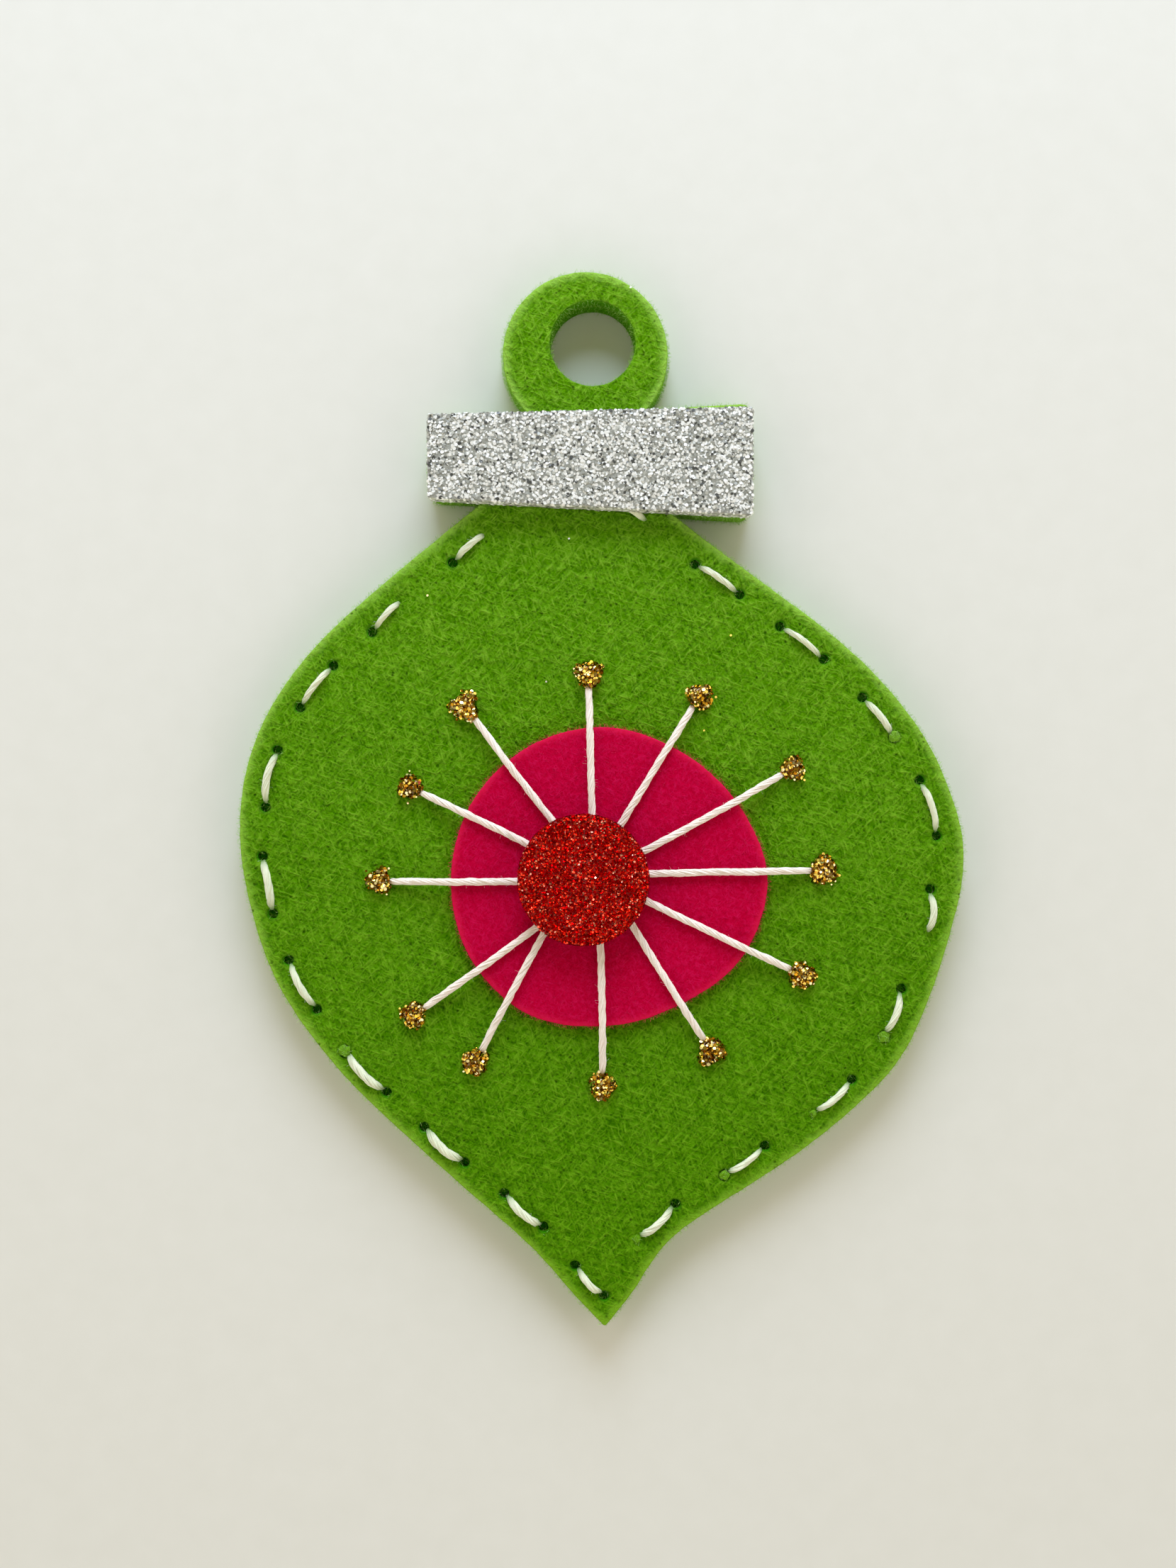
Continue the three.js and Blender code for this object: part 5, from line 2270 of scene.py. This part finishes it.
@dataclass
class Ornament:
    """The whole ornament: felt layers, stitches, cap band, starburst and loose bits.

    Attributes:
        star_reach: Distance from the star's middle within which holes belong to the star.
        inner_reach: Distance within which they are the inner ends of the rays.
        closed_holes: Places of the stitch holes that closed up round the floss.
        slant: How far a needle hole moves sideways from one layer to the other.
        stitch_dent: Depth and width of the dent under a front stitch, and so on for the others.
        spiky_drop: Number of the gold drop that ran out into three points.
        spike_turn: Direction of one of those points, in radians.
        bows: How far each edge stitch lies outside the line between its holes, from the band round.
        widths: How far the floss of each edge stitch opens, in the same order.
    """

    star_reach: float = 33.0
    inner_reach: float = 9.0
    edge_diameter: float = 1.04
    star_diameter: float = 0.97
    closed_holes: Spots = (
        (-14.0, 33.1), (-24.5, 24.8), (40.2, -16.9), (26.0, -38.7), (6.0, 34.1), (4.4, -54.2),
    )
    closed_reach: float = 1.0
    edge_start: float = 90.0
    ray_start: float = 120.0
    slant: float = 1.4
    stitch_dent: Range = (0.12, 0.9)
    hole_dent: Range = (0.3, 0.9)
    ray_dent: Range = (0.1, 0.9)
    back_dent: Range = (1.0, 0.75)
    pink_dent: Range = (0.12, 0.8)
    lobe_step: float = 2.4
    spiky_drop: int = 1
    spike: float = 0.3
    spike_turn: float = 1.1
    widths: tuple[float, ...] = (
        0.75, 0.69, 0.69, 0.89, 0.76, 0.82, 0.86, 0.76, 0.69, 0.97,
        0.86, 1.08, 1.28, 1.18, 0.89, 1.07, 0.97, 0.76, 0.72, 0.76,
    )
    bows: tuple[float, ...] = (
        0.1, 0.12, 0.15, 0.1, 0.3, 0.4, 0.3, 0.2, 0.1, 0.2,
        0.2, 0.25, 0.3, 0.3, 0.2, -0.3, 0.35, 0.1, 0.1, 0.1,
    )

    def __post_init__(self) -> None:
        """Makes the trees that repeat things, and sorts the stitch holes."""
        self.fibre_coat = FibreCoat()
        self.glitter_coat = GlitterCoat()
        self.plied_floss = PliedFloss()
        self.fuzz = FLOSS_FUZZ.material()
        self.felt = GREEN_FELT.material()
        self.felt_fibre = GREEN_FIBRE.material()
        self.rim_fibre = RIM_FIBRE.material()
        self.gold = GOLD_GLITTER.material()
        self.silver = SILVER_GLITTER.material()
        self.front = FeltSheet(
            "front_felt_layer", "front_felt", Slot.GREEN_FELT, wave=0.1, ease=2.2, grow=0.08,
            seed=3, naps=(LYING_NAP, CUT_NAP), rests_on=("back_felt",),
        )
        self.back = FeltSheet(
            "back_felt_layer", "back_felt", Slot.GREEN_FELT, wave=0.1, ease=2.2, grow=0.08,
            seed=4, naps=(BACK_NAP, CUT_NAP),
        )
        self.pink = FeltSheet(
            "pink_felt_disc", "pink_disc", Slot.PINK_FELT, spacing=0.6, wave=0.05, seed=6,
            naps=(FINE_NAP, CUT_NAP), rests_on=("front_felt",),
        )
        self.band = GlitterFoam(
            "cap_band_foam", "cap_band", Slot.SILVER_FOAM, rim_radius=0.1, rough_cut=0.05
        )
        self.red = GlitterFoam(
            "red_disc_foam", "red_disc", Slot.RED_FOAM, spacing=0.6, rim_radius=0.3, seed=2,
            flakes=FINE_FLAKES,
        )
        self.star_centre = centre_of("red_disc")
        holes = [(hole, norm(hole - self.star_centre)) for hole in self.front.holes]
        edge = [hole for hole, reach in holes if reach > self.star_reach]
        outer = [hole for hole, reach in holes if self.inner_reach < reach < self.star_reach]
        inner = [hole for hole, reach in holes if reach < self.inner_reach]
        middle = np.array([0.0, self.star_centre[1]])
        self.edge_holes = clockwise(edge, middle, self.edge_start)
        ends = clockwise(outer, self.star_centre, self.ray_start)
        self.rays = [(self.partner(end, inner), end) for end in ends]
        self.drop_nodes = sorted(node for node in frame["nodes"] if "gold_dot" in node)
        self.drops = [centre_of(node) for node in self.drop_nodes]
        for sheet in (self.front, self.back, self.pink):
            sheet.keep_holes(self.stays_open)
        pairs = zip(self.edge_holes[1::2], self.edge_holes[2::2])
        self.back_holes = [self.slanted(start, end) for start, end in pairs]
        self.back.holes = [hole for pair in self.back_holes for hole in pair]
        self.back.hole_sizes = [self.front.hole_sizes[0]] * len(self.back.holes)

    def slanted(self, start: Points, end: Points) -> tuple[Points, Points]:
        """Moves the holes of a back stitch towards each other, as a slanting needle leaves them."""
        along = (end - start) / norm(end - start) * self.slant
        return start + along, end - along

    def stays_open(self, hole: Points) -> bool:
        """Tells whether a needle hole can still be seen."""
        closed = min(norm(hole - np.array(spot)) for spot in self.closed_holes) < self.closed_reach
        return not closed and norm(hole - self.star_centre) > self.star_reach

    def partner(self, end: Points, starts: list[Points]) -> Points:
        """Finds the inner end of a ray, which lies in the same direction as its outer end."""
        way = (end - self.star_centre) / norm(end - self.star_centre)
        return max(starts, key=lambda s: (s - self.star_centre) @ way / norm(s - self.star_centre))

    def sew_dents(self) -> None:
        """Works out where the floss pulls the felt in."""
        pairs = list(zip(self.edge_holes, self.edge_holes[1:]))
        self.front.front_dents = [
            *(Dent(a, b, *self.stitch_dent) for a, b in pairs[::2]),
            *(Dent(h, h, *self.hole_dent) for h in self.edge_holes),
            *(Dent(a, b, *self.ray_dent) for a, b in self.rays),
        ]
        self.back.back_dents = [Dent(a, b, *self.back_dent) for a, b in self.back_holes]
        self.pink.front_dents = [Dent(a, b, *self.pink_dent) for a, b in self.rays]
        self.front.covers = [self.pink.outline, self.band.outline]

    def make_felt(self) -> None:
        """Builds the three pieces of felt."""
        self.sew_dents()
        pink, pink_fibre = PINK_FELT.material(), PINK_FIBRE.material()
        for sheet in (self.front, self.back):
            sheet.build().dress(self.fibre_coat, self.felt, self.felt_fibre, self.rim_fibre)
        self.pink.build().dress(self.fibre_coat, pink, pink_fibre, pink_fibre)

    def make_foam(self) -> None:
        """Builds the two pieces of glitter foam and dresses the glue under them."""
        self.band.build().dress(self.glitter_coat, SILVER_FOAM.material(), self.silver)
        self.red.build().dress(self.glitter_coat, RED_FOAM.material(), RED_GLITTER.material())
        glue = CLEAR_GLUE.material()
        for node in ("cap_band_glue", "red_disc_glue"):
            solid = frame["nodes"][node]
            solid.data.materials.clear()
            solid.data.materials.append(glue)

    def make_floss(self) -> None:
        """Sews the edge and the starburst."""
        stitch = RunningStitch(
            "edge_stitches", "edge_floss", self.edge_diameter, holes=self.edge_holes,
            back_holes=self.back_holes, bows=self.bows, widths=self.widths,
            front=self.front.top, back=self.back.bottom,
        )
        rays = StarRays(
            "star_rays", "star_floss", self.star_diameter, rays=self.rays, drops=self.drops,
            pink_outline=self.pink.outline, green_level=self.front.top, pink_level=self.pink.top,
            seed=8,
        )
        for floss, finish in ((stitch, EDGE_FLOSS), (rays, STAR_FLOSS)):
            piece = floss.build(self.plied_floss, finish.material())
            floss.dress(self.fibre_coat, piece, self.fuzz)

    def make_drops(self) -> None:
        """Sets the gold drops and the loose bits."""
        glue = GOLD_GLUE.material()
        for number, node in enumerate(self.drop_nodes, 1):
            drop = GoldDrop(node, number, lobe_turn=self.lobe_step * number)
            if number == self.spiky_drop:
                drop = GoldDrop(node, number, lobes=self.spike, lobe_turn=self.spike_turn)
            drop.dress(self.glitter_coat, drop.build(glue), self.gold)
        bits = LooseBits(self.front.top, self.drops)
        bits.strew(self.gold, self.silver)
        bits.plug(self.edge_holes, self.front.holes, self.felt, self.fibre_coat, self.rim_fibre)


def write_sizes(write: Callable[[str], Any]) -> None:
    """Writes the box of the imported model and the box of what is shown."""
    boxes = {"cad": CAD_BOX, "visual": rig.bounds()}
    write(json.dumps({name: [list(map(float, corner)) for corner in box] for name, box in boxes.items()}))


def main() -> None:
    """Builds the ornament and its surroundings."""
    logging.basicConfig(level=logging.INFO, format="%(name)s: %(message)s")
    Studio().set_up()
    ornament = Ornament()
    ornament.make_felt()
    ornament.make_foam()
    ornament.make_floss()
    ornament.make_drops()
    with open(SIZE_FILE, "w", encoding="utf-8") as file:
        write_sizes(file.write)


if __name__ == "__main__":
    main()
